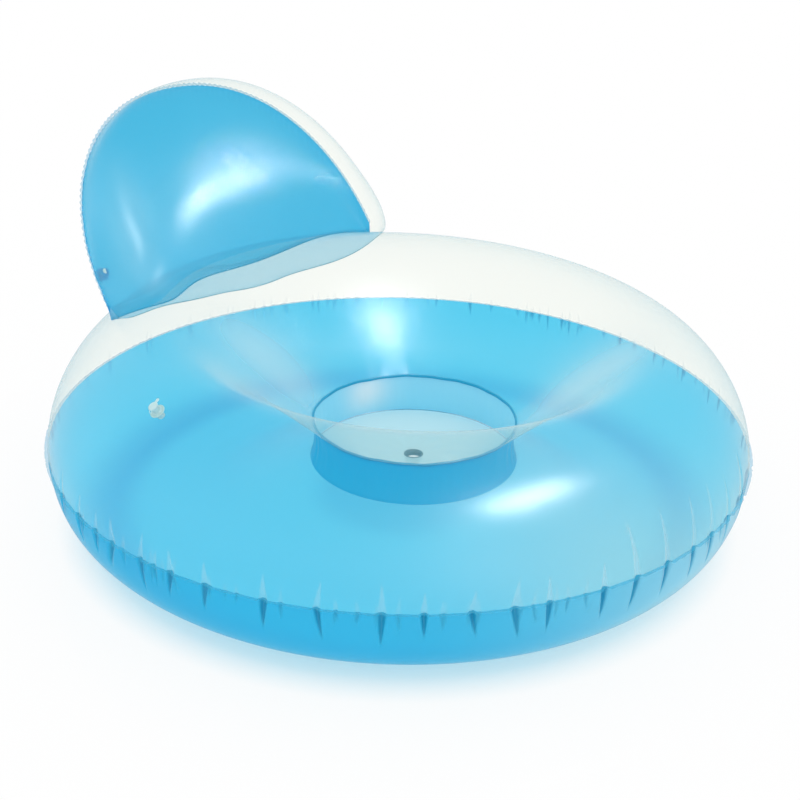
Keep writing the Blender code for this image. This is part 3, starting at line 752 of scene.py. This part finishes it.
class LOUNGER_OT_ring(bpy.types.Operator):
    """Top and bottom films of the ring and the weld that joins them"""

    bl_idname = "lounger.ring"
    bl_label = "Ring"

    def execute(self, context):
        sizes = context.scene.lounger_sizes
        gathers = ring_gathers()
        theta = ring_angles(gathers)
        points, fold_shading_mask = with_gathers(ring_top_points(theta), theta, gathers,
                                      sizes.top_gather, TOP_LENGTH_SHARE)
        points = funnel_folds(points, theta)
        top = grid_object("ring_top_film", points, vinyl("clear_soft_vinyl_film"),
                          wrap_columns=True, pleat=TOP_FOLD_SHADING_SHARE * fold_shading_mask,
                          bloom=bloom(points, FUNNEL_PAINTED_REFLECTIONS))
        put(top, "ring", "clear_vinyl", "ring_top_sheet")
        gathers[:, 2] = np.minimum(gathers[:, 2], LONGEST_BELLY_GATHER)
        points, fold_shading_mask = with_gathers(ring_bottom_points(theta), theta, gathers,
                                      -sizes.bottom_gather, 1.0)
        bottom = grid_object("ring_bottom_film", points, vinyl("blue_soft_vinyl_film"),
                             wrap_columns=True, flip=True, pleat=fold_shading_mask,
                             bloom=bloom(points, BELLY_PAINTED_LIGHT))
        put(bottom, "ring", "blue_vinyl", "ring_bottom_sheet")
        put(outer_weld_band(theta, gathers), "ring", "weld_vinyl", "outer_weld")
        return {"FINISHED"}


BAND_HALF_THICKNESS = 0.0005
FLUTTER = 0.0009


def outer_weld_band(theta, gathers):
    """The weld's flat band: a rounded strip that follows the seam's wave and flutters a bit."""
    shift = seam_shift(theta, gathers)
    around = circle(12)
    half_width = OUTER_WELD_WIDTH / 2
    radial = RING_RADIUS + half_width + half_width * np.cos(around)
    level = BAND_HALF_THICKNESS * np.sin(around)
    flutter = FLUTTER * np.sin(173 * theta) * np.sin(11 * theta + 1)
    out_share = (1 + np.cos(around)) / 2
    points = radial[:, None, None] * spokes(theta)[None]
    points[..., 2] += WELD_HEIGHT + level[:, None] + out_share[:, None] * flutter
    points += shift[None]
    return grid_object("outer_weld_band", points, vinyl("welded_blue_vinyl"),
                       wrap_columns=True, wrap_rows=True, flip=True)


# ---- the seat well ----

WELL_STEPS = 720
WALL_ROWS = 22
FLOOR_ROWS = 40
DRAIN_RADIUS = 0.015
DRAIN_SLEEVE = 0.011
GROMMET_WALL = 0.0006
WALL_BULGE = 0.006
# Place of the painted reflection, a pale patch, from the middle of the well's floor, and its
# reach.
WALL_REFLECTION_PLACE = (0.06, 0.17, 0.05)
WALL_REFLECTION_REACH = 0.045
FLOOR_SAG = 0.0015
FLOOR_RIPPLE = 0.0004
# Half thickness and wave of the rim's and the floor's weld bands.
RIM_BAND = (0.0028, 0.0006)
FLOOR_BAND = (0.0006, 0.0003)


def about_well(radius, height, theta):
    """Points at radii and heights about the well's axis."""
    return np.stack([radius * np.cos(theta), radius * np.sin(theta) + WELL_BACK,
                     height + 0 * theta], -1)


def turned_band(name, radius, height, half_thickness, wave, material):
    """A thin ring of rounded section about the well's axis, with a slow vertical wave."""
    theta, around = circle(WELL_STEPS), circle(12)
    radial = radius + RIM_WELD_WIDTH / 2 * (np.cos(around) - 1)
    level = half_thickness * np.sin(around)
    lift = wave * (np.sin(9 * theta + 0.7) + 0.6 * np.sin(23 * theta + 2.1))
    points = about_well(radial[:, None], height + level[:, None] + lift, theta)
    return grid_object(name, points, material, wrap_columns=True, wrap_rows=True, flip=True)


def well_wall_points():
    """Wall: a low drum that the ring's air pushes in at mid height, with upright ripples."""
    theta = circle(WELL_STEPS)
    part = np.linspace(0, 1, WALL_ROWS)[:, None]
    radius = WELL_RADIUS + (FLOOR_RADIUS - WELL_RADIUS) * part
    belly = np.sin(math.pi * part)
    ripple = 0.0004 * np.sin(31 * theta + 1.3 * np.sin(5 * theta)) + 0.0002 * np.sin(
        57 * theta + 2.0 * np.sin(3 * theta))
    radius = radius - WALL_BULGE * belly + ripple * belly
    return about_well(radius, RIM_HEIGHT + (FLOOR_HEIGHT - RIM_HEIGHT) * part, theta)


def wall_bloom(points):
    """How much painted reflection the wall has, from 0 to 1: one soft round patch high on its
    far side.
    """
    away = points - np.array([0, WELL_BACK, FLOOR_HEIGHT]) - np.array(WALL_REFLECTION_PLACE)
    return np.exp(-(away ** 2).sum(-1) / WALL_REFLECTION_REACH ** 2)


def well_floor_points():
    """Floor: a disc with a round drain hole, sagging by a few millimetres between them."""
    theta = circle(WELL_STEPS)
    part = np.linspace(0, 1, FLOOR_ROWS)[:, None]
    radius = DRAIN_RADIUS + (FLOOR_RADIUS - RIM_WELD_WIDTH / 2 - DRAIN_RADIUS) * part
    sag = FLOOR_SAG * np.sin(math.pi * part) ** 2
    ripple = FLOOR_RIPPLE * np.sin(math.pi * part) * np.sin(14 * theta + 3 * part)
    return about_well(radius, FLOOR_HEIGHT - sag + ripple, theta)


def drain_grommet():
    """Grommet of the drain: a flat rim on the floor and a thin sleeve that hangs under it."""
    # Painted shade: the dark sleeve fills the hole with the shade that lies under the well.
    inner = DRAIN_RADIUS - 0.0002
    outer = inner + GROMMET_WALL
    profile = np.array([(inner, 0.0006), (DRAIN_RADIUS + 0.0022, 0.0006),
                        (DRAIN_RADIUS + 0.0026, 0.0001), (outer, 0.0001),
                        (outer, -DRAIN_SLEEVE), (inner, -DRAIN_SLEEVE)])
    points = about_well(profile[:, :1], FLOOR_HEIGHT + profile[:, 1:],
                        circle(WELL_STEPS // 6))
    return grid_object("drain_grommet", points, vinyl("grommet_vinyl_painted_shade"),
                       wrap_columns=True, wrap_rows=True, flip=True)


class LOUNGER_OT_well(bpy.types.Operator):
    """Wall, floor and welds of the seat well"""

    bl_idname = "lounger.well"
    bl_label = "Seat well"

    def execute(self, context):
        points = well_wall_points()
        wall = grid_object("well_wall_film", points, vinyl("blue_soft_vinyl_wall"),
                           wrap_columns=True, bloom=wall_bloom(points))
        put(wall, "ring", "blue_vinyl", "well_wall")
        floor = grid_object("well_floor_film", well_floor_points(),
                            vinyl("pale_soft_vinyl_film"), wrap_columns=True)
        put(floor, "ring", "clear_vinyl", "well_floor")
        rim = turned_band("well_rim_band", WELL_RADIUS, RIM_HEIGHT, *RIM_BAND,
                          vinyl("welded_rim_vinyl"))
        put(rim, "ring", "weld_vinyl", "well_rim_weld")
        low = turned_band("well_floor_band", FLOOR_RADIUS, FLOOR_HEIGHT, *FLOOR_BAND,
                          vinyl("welded_blue_vinyl"))
        put(drain_grommet(), "ring", "clear_vinyl")
        put(low, "ring", "weld_vinyl", "well_floor_weld")
        return {"FINISHED"}


# ---- the backrest ----

BACKREST_RIM_POWER = 2.16
HEM_REACH = 0.045
# Side, start and end as shares of the half width, and metres that the hem comes forward.
HEM_SPREADS = ((-1, 0.25, 0.85, 0.024), (1, 0.10, 1.00, 0.070))
HEM_CORNER_POWERS = (8, 2.5)
REAR_FOLD = (-0.275, 0.10, 0.062)
HEM_LIFT = 0.0006
FRONT_SECTION_POWERS = (2.0, 3.4)
REAR_SECTION_POWERS = (2.0, 2.0)
FRONT_DEPTH_POWER = 2.6
BACKREST_WELD_WIDTH = 0.005
RIM_GATHER_DEPTH = 0.002
# Height and run per radian of the rim weld's fine wave.
RIM_WAVE = (0.0011, 0.0019)
BASE_ROWS = 10
BASE_LIFT = 0.0004
BASE_END_DROP = 0.0002
FRONT_BEAD_RADIUS = 0.0008
REAR_BEAD_RADIUS = 0.0013


def backrest_axes():
    """Up the rim's plane, and forwards out of it."""
    tilt = bpy.context.scene.lounger_sizes.backrest_tilt
    up = np.array([0.0, math.sin(tilt), math.cos(tilt)])
    forwards = np.array([0.0, -math.cos(tilt), math.sin(tilt)])
    return up, forwards


def across_shares():
    """Places across the backrest, closer at the tips: -cos(pi k / n)."""
    return -np.cos(math.pi * np.arange(BACKREST_STEPS + 1) / BACKREST_STEPS)


def rim_points():
    """The D of the welded rim: |x / a| ** p + (y / b) ** p = 1, over the hinge line."""
    sizes = bpy.context.scene.lounger_sizes
    up, _ = backrest_axes()
    across = across_shares()
    rise = np.clip(1 - np.abs(across) ** BACKREST_RIM_POWER, 0, 1) ** (1 / BACKREST_RIM_POWER)
    points = HINGE + rise[:, None] * sizes.backrest_height * up
    points[:, 0] += sizes.backrest_half_width * across
    return points


def ease(share):
    """A smooth step from 0 to 1."""
    share = np.clip(share, 0, 1)
    return share ** 2 * (3 - 2 * share)


def front_hem_points():
    """Hem of the front film on the ring's top film, in front of the hinge line.

    It comes further forward towards both ends and turns back round the corners.
    """
    across = across_shares()
    power = np.where(across < 0, *HEM_CORNER_POWERS)
    corner = np.clip(1 - np.abs(across) ** power, 0, 1) ** (1 / power)
    ahead = HEM_REACH + sum(spread * ease((side * across - start) / (end - start))
                            for side, start, end, spread in HEM_SPREADS)
    return on_ring(ahead * corner)


def rear_hem_points():
    """Hem of the rear film: the hinge line, with a fold that comes forward at the left."""
    place, reach, ahead = REAR_FOLD
    x = bpy.context.scene.lounger_sizes.backrest_half_width * across_shares()
    corner = np.sqrt(np.clip(1 - across_shares() ** 8, 0, 1))
    return on_ring(ahead * np.exp(-((x - place) / reach) ** 2) * corner)


def on_ring(ahead):
    """A line across the ring's top film, a given distance in front of the hinge line."""
    x = bpy.context.scene.lounger_sizes.backrest_half_width * across_shares()
    y = HINGE[1] - ahead
    return np.stack([x, y, ring_height(x, y) + HEM_LIFT], -1)


def pillow_points(low, rim, bulge, powers, depth_power):
    """A film blown out between its hem and the rim.

    Each section runs from hem to rim at one place across, as half a superellipse:
    (1 - cos(t) ** (2 / power)) / 2 along and sin(t) ** (2 / power) out, with one power by
    the hem and one by the rim. Its depth goes across the backrest as
    (1 - |x / a| ** p) ** (1 / p), p the depth power.
    """
    _, forwards = backrest_axes()
    across = across_shares()
    depth = bulge * np.clip(1 - np.abs(across) ** depth_power, 0, 1) ** (1 / depth_power)
    turn = math.pi * np.linspace(0, 1, BACKREST_ROWS)[:, None]
    power = np.where(turn < QUARTER_TURN, powers[0], powers[1])
    run, rise = np.cos(turn), np.abs(np.sin(turn)) ** (2 / power)
    place = (1 - np.sign(run) * np.abs(run) ** (2 / power)) / 2
    points = low[None] + place[..., None] * (rim - low)[None]
    return points + (rise * depth)[..., None] * forwards


def rear_fold_shading(points):
    """Where the blue film lies double above its hem: a lens at the left, a line at the right.

    The lens is as high as 12 mm and a hump of 30 mm about x = -0.2 m, and its upper edge is
    a crease. Its darker colour is partly the film lying double and partly painted shade.
    """
    distance = row_distance(points)
    x = points[..., 0]
    height = 0.012 + 0.030 * np.exp(-((x + 0.20) / 0.13) ** 2)
    inside = np.clip((height - distance) / 0.004, 0, 1)
    crease = np.exp(-((distance - height) / 0.0025) ** 2)
    return np.clip(0.18 * inside + (0.25 + 0.45 * (x > -0.12)) * crease, 0, 1)


def rim_gathers(points):
    """Small close gathers along the backrest's rim, fading over about 25 mm."""
    dice = np.random.default_rng(RANDOM_SEED + 2)
    run = path_lengths(points[-1])
    distance = row_distance(points[::-1])[::-1]
    total = np.zeros(distance.shape)
    place = 0.0
    while place < run[-1]:
        place += dice.uniform(0.009, 0.017)
        size, length = dice.uniform(0.4, 1.0), dice.uniform(0.012, 0.030)
        fade = np.clip(1 - distance / length, 0, 1)
        total += size * fade * np.exp(-((run - place) / (0.0028 + 0.002 * fade)) ** 2)
    rim_share = 1 - np.exp(-distance / 0.003)
    normals = grid_normals(points, False)
    return points - RIM_GATHER_DEPTH * (total * rim_share)[..., None] * normals


def hang(item, node):
    """Keep a piece where it stands, in a solid's place: bake its place into its points and hide
    the solid.
    """
    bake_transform(item)
    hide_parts(node)


class LOUNGER_OT_backrest(bpy.types.Operator):
    """Films, weld and hems of the backrest"""

    bl_idname = "lounger.backrest"
    bl_label = "Backrest"

    def execute(self, context):
        sizes = context.scene.lounger_sizes
        rim = rim_points()
        front_hem, rear_hem = front_hem_points(), rear_hem_points()
        front_hem[[0, -1]] = rear_hem[[0, -1]] = rim[[0, -1]]
        points = pillow_points(front_hem, rim, sizes.front_bulge, FRONT_SECTION_POWERS,
                               FRONT_DEPTH_POWER)
        hang(grid_object("backrest_front_film", rim_gathers(points),
                         vinyl("clear_soft_vinyl_film")),
             "backrest_front_sheet")
        points = pillow_points(rear_hem, rim, -sizes.back_bulge, REAR_SECTION_POWERS,
                               BACKREST_RIM_POWER)
        hang(grid_object("backrest_back_film", rim_gathers(points),
                         vinyl("shaded_blue_soft_vinyl_film"), flip=True,
                         pleat=rear_fold_shading(points), bloom=bloom(points, BACKREST_PAINTED_HIGHLIGHTS)),
             "backrest_back_sheet")
        hang(rim_band(rim), "backrest_weld")
        row = np.linspace(0, 1, BASE_ROWS)[:, None, None]
        base_points = front_hem[None] + row * (rear_hem - front_hem)[None]
        base_points[..., 2] = BASE_LIFT + ring_height(base_points[..., 0],
                                                      base_points[..., 1])
        base_points[:, [0, -1]] = rim[[0, -1]] - np.array([0, 0, BASE_END_DROP])
        base = grid_object("backrest_base_film", base_points, vinyl("pale_blue_soft_vinyl_film"))
        put(base, "ring", "clear_vinyl", "backrest_gusset")
        put(bead("backrest_front_bead", front_hem, FRONT_BEAD_RADIUS,
                 vinyl("welded_hem_bead")), "ring", "clear_vinyl")
        put(bead("backrest_rear_bead", rear_hem, REAR_BEAD_RADIUS,
                 vinyl("welded_rim_vinyl")), "ring", "weld_vinyl")
        return {"FINISHED"}


def bead(name, path, radius, material):
    """A round weld bead carried along a path, thinning to nothing at both ends."""
    ahead = unit(np.gradient(path, axis=0))
    side = unit(np.cross(ahead, np.array([0, 0, 1.0])))
    above = np.cross(side, ahead)
    around = circle(10)[:, None, None]
    part = np.linspace(-1, 1, len(path))
    thick = (radius * np.sqrt(np.clip(1 - part ** 8, 0, 1)))[None, :, None]
    points = path + thick * (np.cos(around) * side + np.sin(around) * above)
    return grid_object(name, points, material, wrap_rows=True)


def rim_band(rim):
    """The backrest's weld: a flat strip outside the rim, with a fine wave."""
    _, forwards = backrest_axes()
    along = unit(np.gradient(rim, axis=0))
    outward = unit(np.cross(along, forwards))
    middle = rim.mean(0)
    outward *= np.sign(((rim - middle) * outward).sum(-1))[:, None]
    around = circle(10)[:, None, None]
    half = BACKREST_WELD_WIDTH / 2
    height, pace = RIM_WAVE
    wave = height * np.sin(path_lengths(rim) / pace)[None, :, None]
    points = rim[None] + outward * (half + half * np.cos(around) + wave)
    points = points + forwards * BAND_HALF_THICKNESS * np.sin(around)
    points[:, [0, -1]] = rim[[0, -1]]
    return grid_object("backrest_rim_band", points, vinyl("welded_blue_vinyl"),
                       wrap_rows=True)


# ---- the valves ----

VALVE_STEPS = 64
FLANGE_RADIUS = 0.0120
FLANGE_BORE = 0.0085
NECK_RADIUS = 0.0060
BORE_RADIUS = 0.0042
NECK_REACH = 0.012
CAP_RADIUS = 0.0078
CAP_THICKNESS = 0.0020
PLUG_LENGTH = 0.0080
FLAP_RADIUS = 0.0050
TETHER_DROP = 0.0045
VALVE_TURN = math.radians(9)
SEAT_GAP = 0.0003
ROUNDING = 0.00025
CORD_RADIUS = 0.0006
CORD_BOW = 0.0042


def valve_frame(joint):
    """Origin and axes of a valve: towards its tab, across and outwards."""
    outwards = unit(np.array(joint["axis"]))
    uphill = unit(np.array([0, 0, 1.0]) - outwards[2] * outwards)
    across = np.cross(outwards, uphill)
    tab = math.cos(VALVE_TURN) * uphill + math.sin(VALVE_TURN) * across
    return np.array(joint["pos_m"]), np.stack([tab, np.cross(outwards, tab), outwards])


def turned(name, profile, place, material, closed=True):
    """A profile of (radius, height) points turned about a valve's axis."""
    origin, axes = place
    profile = np.array(profile)
    angle = circle(VALVE_STEPS)
    local = np.stack([profile[:, :1] * np.cos(angle), profile[:, :1] * np.sin(angle),
                      profile[:, 1:] + 0 * angle], -1)
    item = grid_object(name, origin + local @ axes, material, wrap_columns=True,
                       wrap_rows=closed)
    shape = bmesh.new()
    shape.from_mesh(item.data)
    bmesh.ops.recalc_face_normals(shape, faces=shape.faces)
    shape.to_mesh(item.data)
    shape.free()
    bevel = item.modifiers.new("rounded_edges", "BEVEL")
    bevel.width = ROUNDING
    bevel.segments = 2
    bevel.limit_method = "ANGLE"
    return item


def tab_points(place):
    """Pull tab: a flat tongue with a rounded end and four grip ridges across it."""
    origin, axes = place
    part = np.linspace(0, 1, 60)[:, None]
    around = circle(32)
    along = 0.0050 + 0.0098 * part
    end = np.sqrt(np.clip(1 - np.clip((part - 0.72) / 0.28, 0, 1) ** 2, 0, 1))
    half_width = 0.0031 * end * (0.86 + 0.14 * part)
    ridge = 0.0002 * np.clip(np.sin(FULL_TURN * 7 * part), 0, 1) * (part > 0.3)
    half_height = (0.0007 + ridge) * np.sqrt(end)
    level = NECK_REACH + SEAT_GAP + CAP_THICKNESS / 2
    local = np.stack([along + 0 * around, half_width * np.cos(around),
                      level + half_height * np.sin(around)], -1)
    local[0, :, 1:] = (0, level)
    return origin + local @ axes


def tether_points(place):
    """Tether: a thin round cord that goes half an ellipse from the neck to the cap's edge."""
    origin, axes = place
    part = np.linspace(0, 1, 28)
    bow = CORD_BOW * np.sin(math.pi * part)
    rise = (1 - np.cos(math.pi * part)) / 2
    start, end = -NECK_RADIUS + 0.0003, -CAP_RADIUS + 0.0004
    x = start + (end - start) * rise - bow
    z = NECK_REACH - TETHER_DROP + (SEAT_GAP + CAP_THICKNESS / 2 + TETHER_DROP) * rise
    path = np.stack([x, 0 * x, z], -1)
    ahead = unit(np.gradient(path, axis=0))
    side = np.array([0, 1.0, 0])
    above = np.cross(ahead, side)
    around = circle(12)[None, :, None]
    thick = CORD_RADIUS * np.sqrt(np.clip(1 - (2 * part - 1) ** 16, 0, 1))[:, None, None]
    local = path[:, None] + thick * (np.cos(around) * side + np.sin(around) * above[:, None])
    return origin + local @ axes


class LOUNGER_OT_valves(bpy.types.Operator):
    """Both valves: flange, web, neck, check flap, stopper and tether"""

    bl_idname = "lounger.valves"
    bl_label = "Valves"

    def execute(self, context):
        for side in ("ring", "backrest"):
            self.make_valve(side, side + "_valve")
        return {"FINISHED"}

    def make_valve(self, side, name):
        place = valve_frame(JOINTS[side + "_valve_press"])
        soft = vinyl("moulded_white_vinyl")
        flange = turned(name + "_rim", [(FLANGE_BORE, 0.0011), (0.0113, 0.0011),
                                        (FLANGE_RADIUS, 0.0006), (FLANGE_RADIUS, 0.0002),
                                        (FLANGE_BORE, 0.0002)], place, soft)
        put(flange, side, "valve_vinyl", name + "_flange")
        web = turned(name + "_skirt", [(NECK_RADIUS, 0.0031), (0.0070, 0.0030),
                                       (FLANGE_BORE, 0.0010), (FLANGE_BORE, 0.0005),
                                       (0.0070, 0.0025), (NECK_RADIUS, 0.0026)], place, soft)
        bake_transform(web)
        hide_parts(name + "_web")
        neck = turned(name + "_tube", [(BORE_RADIUS, NECK_REACH), (0.0062, NECK_REACH),
                                       (0.0062, NECK_REACH - 0.0010),
                                       (NECK_RADIUS, NECK_REACH - 0.0014),
                                       (NECK_RADIUS, -NECK_REACH), (BORE_RADIUS, -NECK_REACH)],
                      place, soft)
        put(neck, name, "valve_vinyl", name + "_neck")
        top = -NECK_REACH - SEAT_GAP
        flap = turned(name + "_disc", [(0, top), (FLAP_RADIUS, top),
                                       (FLAP_RADIUS, top - 0.0005), (0, top - 0.0005)], place,
                      soft, closed=False)
        put(flap, side + "_flap", "valve_vinyl", name + "_flap")
        seat = NECK_REACH + SEAT_GAP
        cap = turned(name + "_cap", [(0, seat + CAP_THICKNESS * 0.8),
                                     (0.0030, seat + CAP_THICKNESS * 0.8),
                                     (0.0042, seat + CAP_THICKNESS),
                                     (0.0070, seat + CAP_THICKNESS),
                                     (CAP_RADIUS, seat + CAP_THICKNESS * 0.6),
                                     (CAP_RADIUS, seat), (0.0039, seat),
                                     (0.0034, seat - PLUG_LENGTH), (0, seat - PLUG_LENGTH)],
                     place, soft, closed=False)
        put(cap, side + "_stopper", "valve_vinyl", name + "_stopper")
        tab = grid_object(name + "_tab", tab_points(place), soft, wrap_columns=True)
        put(tab, side + "_stopper", "valve_vinyl")
        tether = grid_object(name + "_cord", tether_points(place), soft, wrap_columns=True)
        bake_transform(tether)
        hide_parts(name + "_tether")


# ---- the stage ----

# Soft lamps: what each is aimed at, direction from there, distance, width, height, spread and
# power. The narrow spreads are a softbox grid's, and the lamps show in the gloss alone.
LAMPS = (
    ("front_lamp", (-0.28, -0.47, 0.28), (0.10, -0.58, 0.81), 1.2, 0.66, 0.26, 60, 2.9),
    ("high_lamp", (0.16, 0.17, 0.24), (0.0, -0.33, 0.94), 0.8, 0.16, 0.08, 60, 0.42),
    ("right_lamp", (-0.12, 0.35, 0.50), (0.72, -0.41, 0.56), 1.5, 0.13, 0.26, 18, 0.17),
    ("left_lamp", (-0.28, 0.36, 0.47), (-0.36, -0.33, 0.87), 1.5, 0.35, 0.35, 40, 0.30),
)


# How much of the floor's white is its own, where the camera sees it, by distance from the
# ring's middle in metres: little under the seat well and at the ring's foot, where the
# object keeps light away, and nearly all of it outside.
FLOOR_LEVELS = ((0.0, 0.50), (0.12, 0.50), (0.17, 0.85), (0.46, 0.85), (0.51, 0.30),
                (0.55, 0.36), (0.61, 0.88), (1.0, 0.95))


def floor_material():
    """Glossy white studio floor, partly as bright as white wherever the camera sees it."""
    material, tree, output = start_material("white_studio_floor")
    shader = add_node(tree, "ShaderNodeBsdfPrincipled", {
        "Base Color": linear("#FFFFFF"), "Roughness": 0.12, "IOR": 1.5})
    white = add_node(tree, "ShaderNodeEmission", {"Color": linear("#FFFFFF")})
    path = add_node(tree, "ShaderNodeLightPath")
    place = add_node(tree, "ShaderNodeTexCoord").outputs["Object"]
    away = add_node(tree, "ShaderNodeVectorMath", {0: place}, operation="LENGTH")
    level = add_node(tree, "ShaderNodeValToRGB", {"Fac": away.outputs["Value"]})
    stops = level.color_ramp.elements
    while len(stops) < len(FLOOR_LEVELS):
        stops.new(1)
    for stop, (distance, value) in zip(stops, FLOOR_LEVELS):
        stop.position, stop.color = distance, (value, value, value, 1)
    seen = calculate(tree, "MAXIMUM", path.outputs["Is Camera Ray"],
                     path.outputs["Is Glossy Ray"])
    share = calculate(tree, "MULTIPLY", seen, level.outputs["Color"])
    mixed = mix_shaders(tree, share, shader.outputs[0], white.outputs[0])
    tree.links.new(mixed, output.inputs["Surface"])
    return material


FLOOR_REACH = 15.0
FLOOR_SINK = 0.0005


class LOUNGER_OT_stage(bpy.types.Operator):
    """Floor, surroundings, lamps and camera"""

    bl_idname = "lounger.stage"
    bl_label = "Stage"

    def execute(self, context):
        stage = context.scene.lounger_stage
        corners = np.array([[(x, y, -FLOOR_SINK) for x in (-FLOOR_REACH, FLOOR_REACH)]
                            for y in (-FLOOR_REACH, FLOOR_REACH)])
        grid_object("studio_floor", corners, floor_material())
        self.surroundings(stage.world_light)
        for name, target, direction, distance, width, height, spread, power in LAMPS:
            direction = unit(np.array(direction))
            self.lamp(name, np.array(target) + distance * direction, direction, width,
                      height, spread, power)
        self.camera(stage)
        context.scene.view_settings.view_transform = "Standard"
        return {"FINISHED"}

    def surroundings(self, strength):
        """White all round. Gloss mirrors a ceiling that is dimmer than the white walls."""
        world = bpy.data.worlds.new("white_surroundings")
        bpy.context.scene.world = world
        world.use_nodes = True
        tree = world.node_tree
        tree.nodes.clear()
        path = add_node(tree, "ShaderNodeLightPath")
        seen = calculate(tree, "MAXIMUM", path.outputs["Is Camera Ray"],
                         path.outputs["Is Glossy Ray"])
        seen = calculate(tree, "MAXIMUM", seen, path.outputs["Is Transmission Ray"])
        level = add_node(tree, "ShaderNodeMapRange", {"Value": seen,
                                                      "To Min": strength, "To Max": 1.0})
        ray = add_node(tree, "ShaderNodeTexCoord").outputs["Generated"]
        ray = add_node(tree, "ShaderNodeSeparateXYZ", {0: ray})
        dim = add_node(tree, "ShaderNodeMapRange", {
            "Value": ray.outputs["Z"], "From Min": 0.25, "From Max": 0.85, "To Min": 0.0,
            "To Max": 0.6})
        dim = calculate(tree, "MULTIPLY", dim.outputs[0], path.outputs["Is Glossy Ray"])
        level = calculate(tree, "SUBTRACT", level.outputs[0], dim)
        back = add_node(tree, "ShaderNodeBackground", {"Color": (1, 1, 1, 1),
                                                       "Strength": level})
        output = add_node(tree, "ShaderNodeOutputWorld")
        tree.links.new(back.outputs[0], output.inputs["Surface"])

    def lamp(self, name, place, direction, width, height, spread, power):
        """A rectangular soft lamp that faces back along its direction."""
        data = bpy.data.lights.new(name, "AREA")
        data.shape = "RECTANGLE"
        data.size, data.size_y = width, height
        data.energy = power
        data.spread = math.radians(spread)
        lamp = add_object(name, data)
        lamp.visible_diffuse = False
        lamp.visible_camera = False
        side = unit(np.cross([0, 0, 1.0], direction))
        place_object(lamp, side, np.cross(direction, side), direction, place)

    def camera(self, stage):
        """The photograph's camera."""
        data = bpy.data.cameras.new("camera")
        data.lens = stage.focal_length
        data.sensor_width = SENSOR_WIDTH
        data.clip_end = 100
        camera = add_object("camera", data)
        right, up, forward = camera_axes()
        place_object(camera, right, up, -forward, np.array(stage.camera_place))
        bpy.context.scene.camera = camera


def place_object(item, right, up, back, place):
    """Stand an object at a place, with its axes along three directions."""
    turn = np.eye(4)
    turn[:3] = np.column_stack([right, up, back, place])
    item.matrix_world = Matrix(turn.tolist())


class LOUNGER_PT_panel(bpy.types.Panel):
    """Lists the sizes, the colours and the steps"""

    bl_idname = "LOUNGER_PT_panel"
    bl_label = "Pool lounger"
    bl_space_type = "VIEW_3D"
    bl_region_type = "UI"
    bl_category = "Lounger"

    def draw(self, context):
        for group in (context.scene.lounger_sizes, context.scene.lounger_colours,
                      context.scene.lounger_stage):
            for name in group.__annotations__:
                self.layout.prop(group, name)
        for step in STEPS:
            self.layout.operator(step.bl_idname)


GROUPS = {"lounger_sizes": LoungerSizes, "lounger_colours": LoungerColours,
          "lounger_stage": LoungerStage}
STEPS = (LOUNGER_OT_ring, LOUNGER_OT_well, LOUNGER_OT_backrest, LOUNGER_OT_valves,
         LOUNGER_OT_stage)


def register():
    """Register the groups, the steps and the panel."""
    for name, group in GROUPS.items():
        bpy.utils.register_class(group)
        setattr(bpy.types.Scene, name, bpy.props.PointerProperty(type=group))
    for step in STEPS + (LOUNGER_PT_panel,):
        bpy.utils.register_class(step)


def unregister():
    """Take them out again."""
    for step in (LOUNGER_PT_panel,) + STEPS[::-1]:
        bpy.utils.unregister_class(step)
    for name, group in GROUPS.items():
        delattr(bpy.types.Scene, name)
        bpy.utils.unregister_class(group)


def main():
    """Make every piece."""
    register()
    bpy.ops.lounger.ring()
    bpy.ops.lounger.well()
    bpy.ops.lounger.backrest()
    bpy.ops.lounger.valves()
    bpy.ops.lounger.stage()


if __name__ == "__main__":
    main()
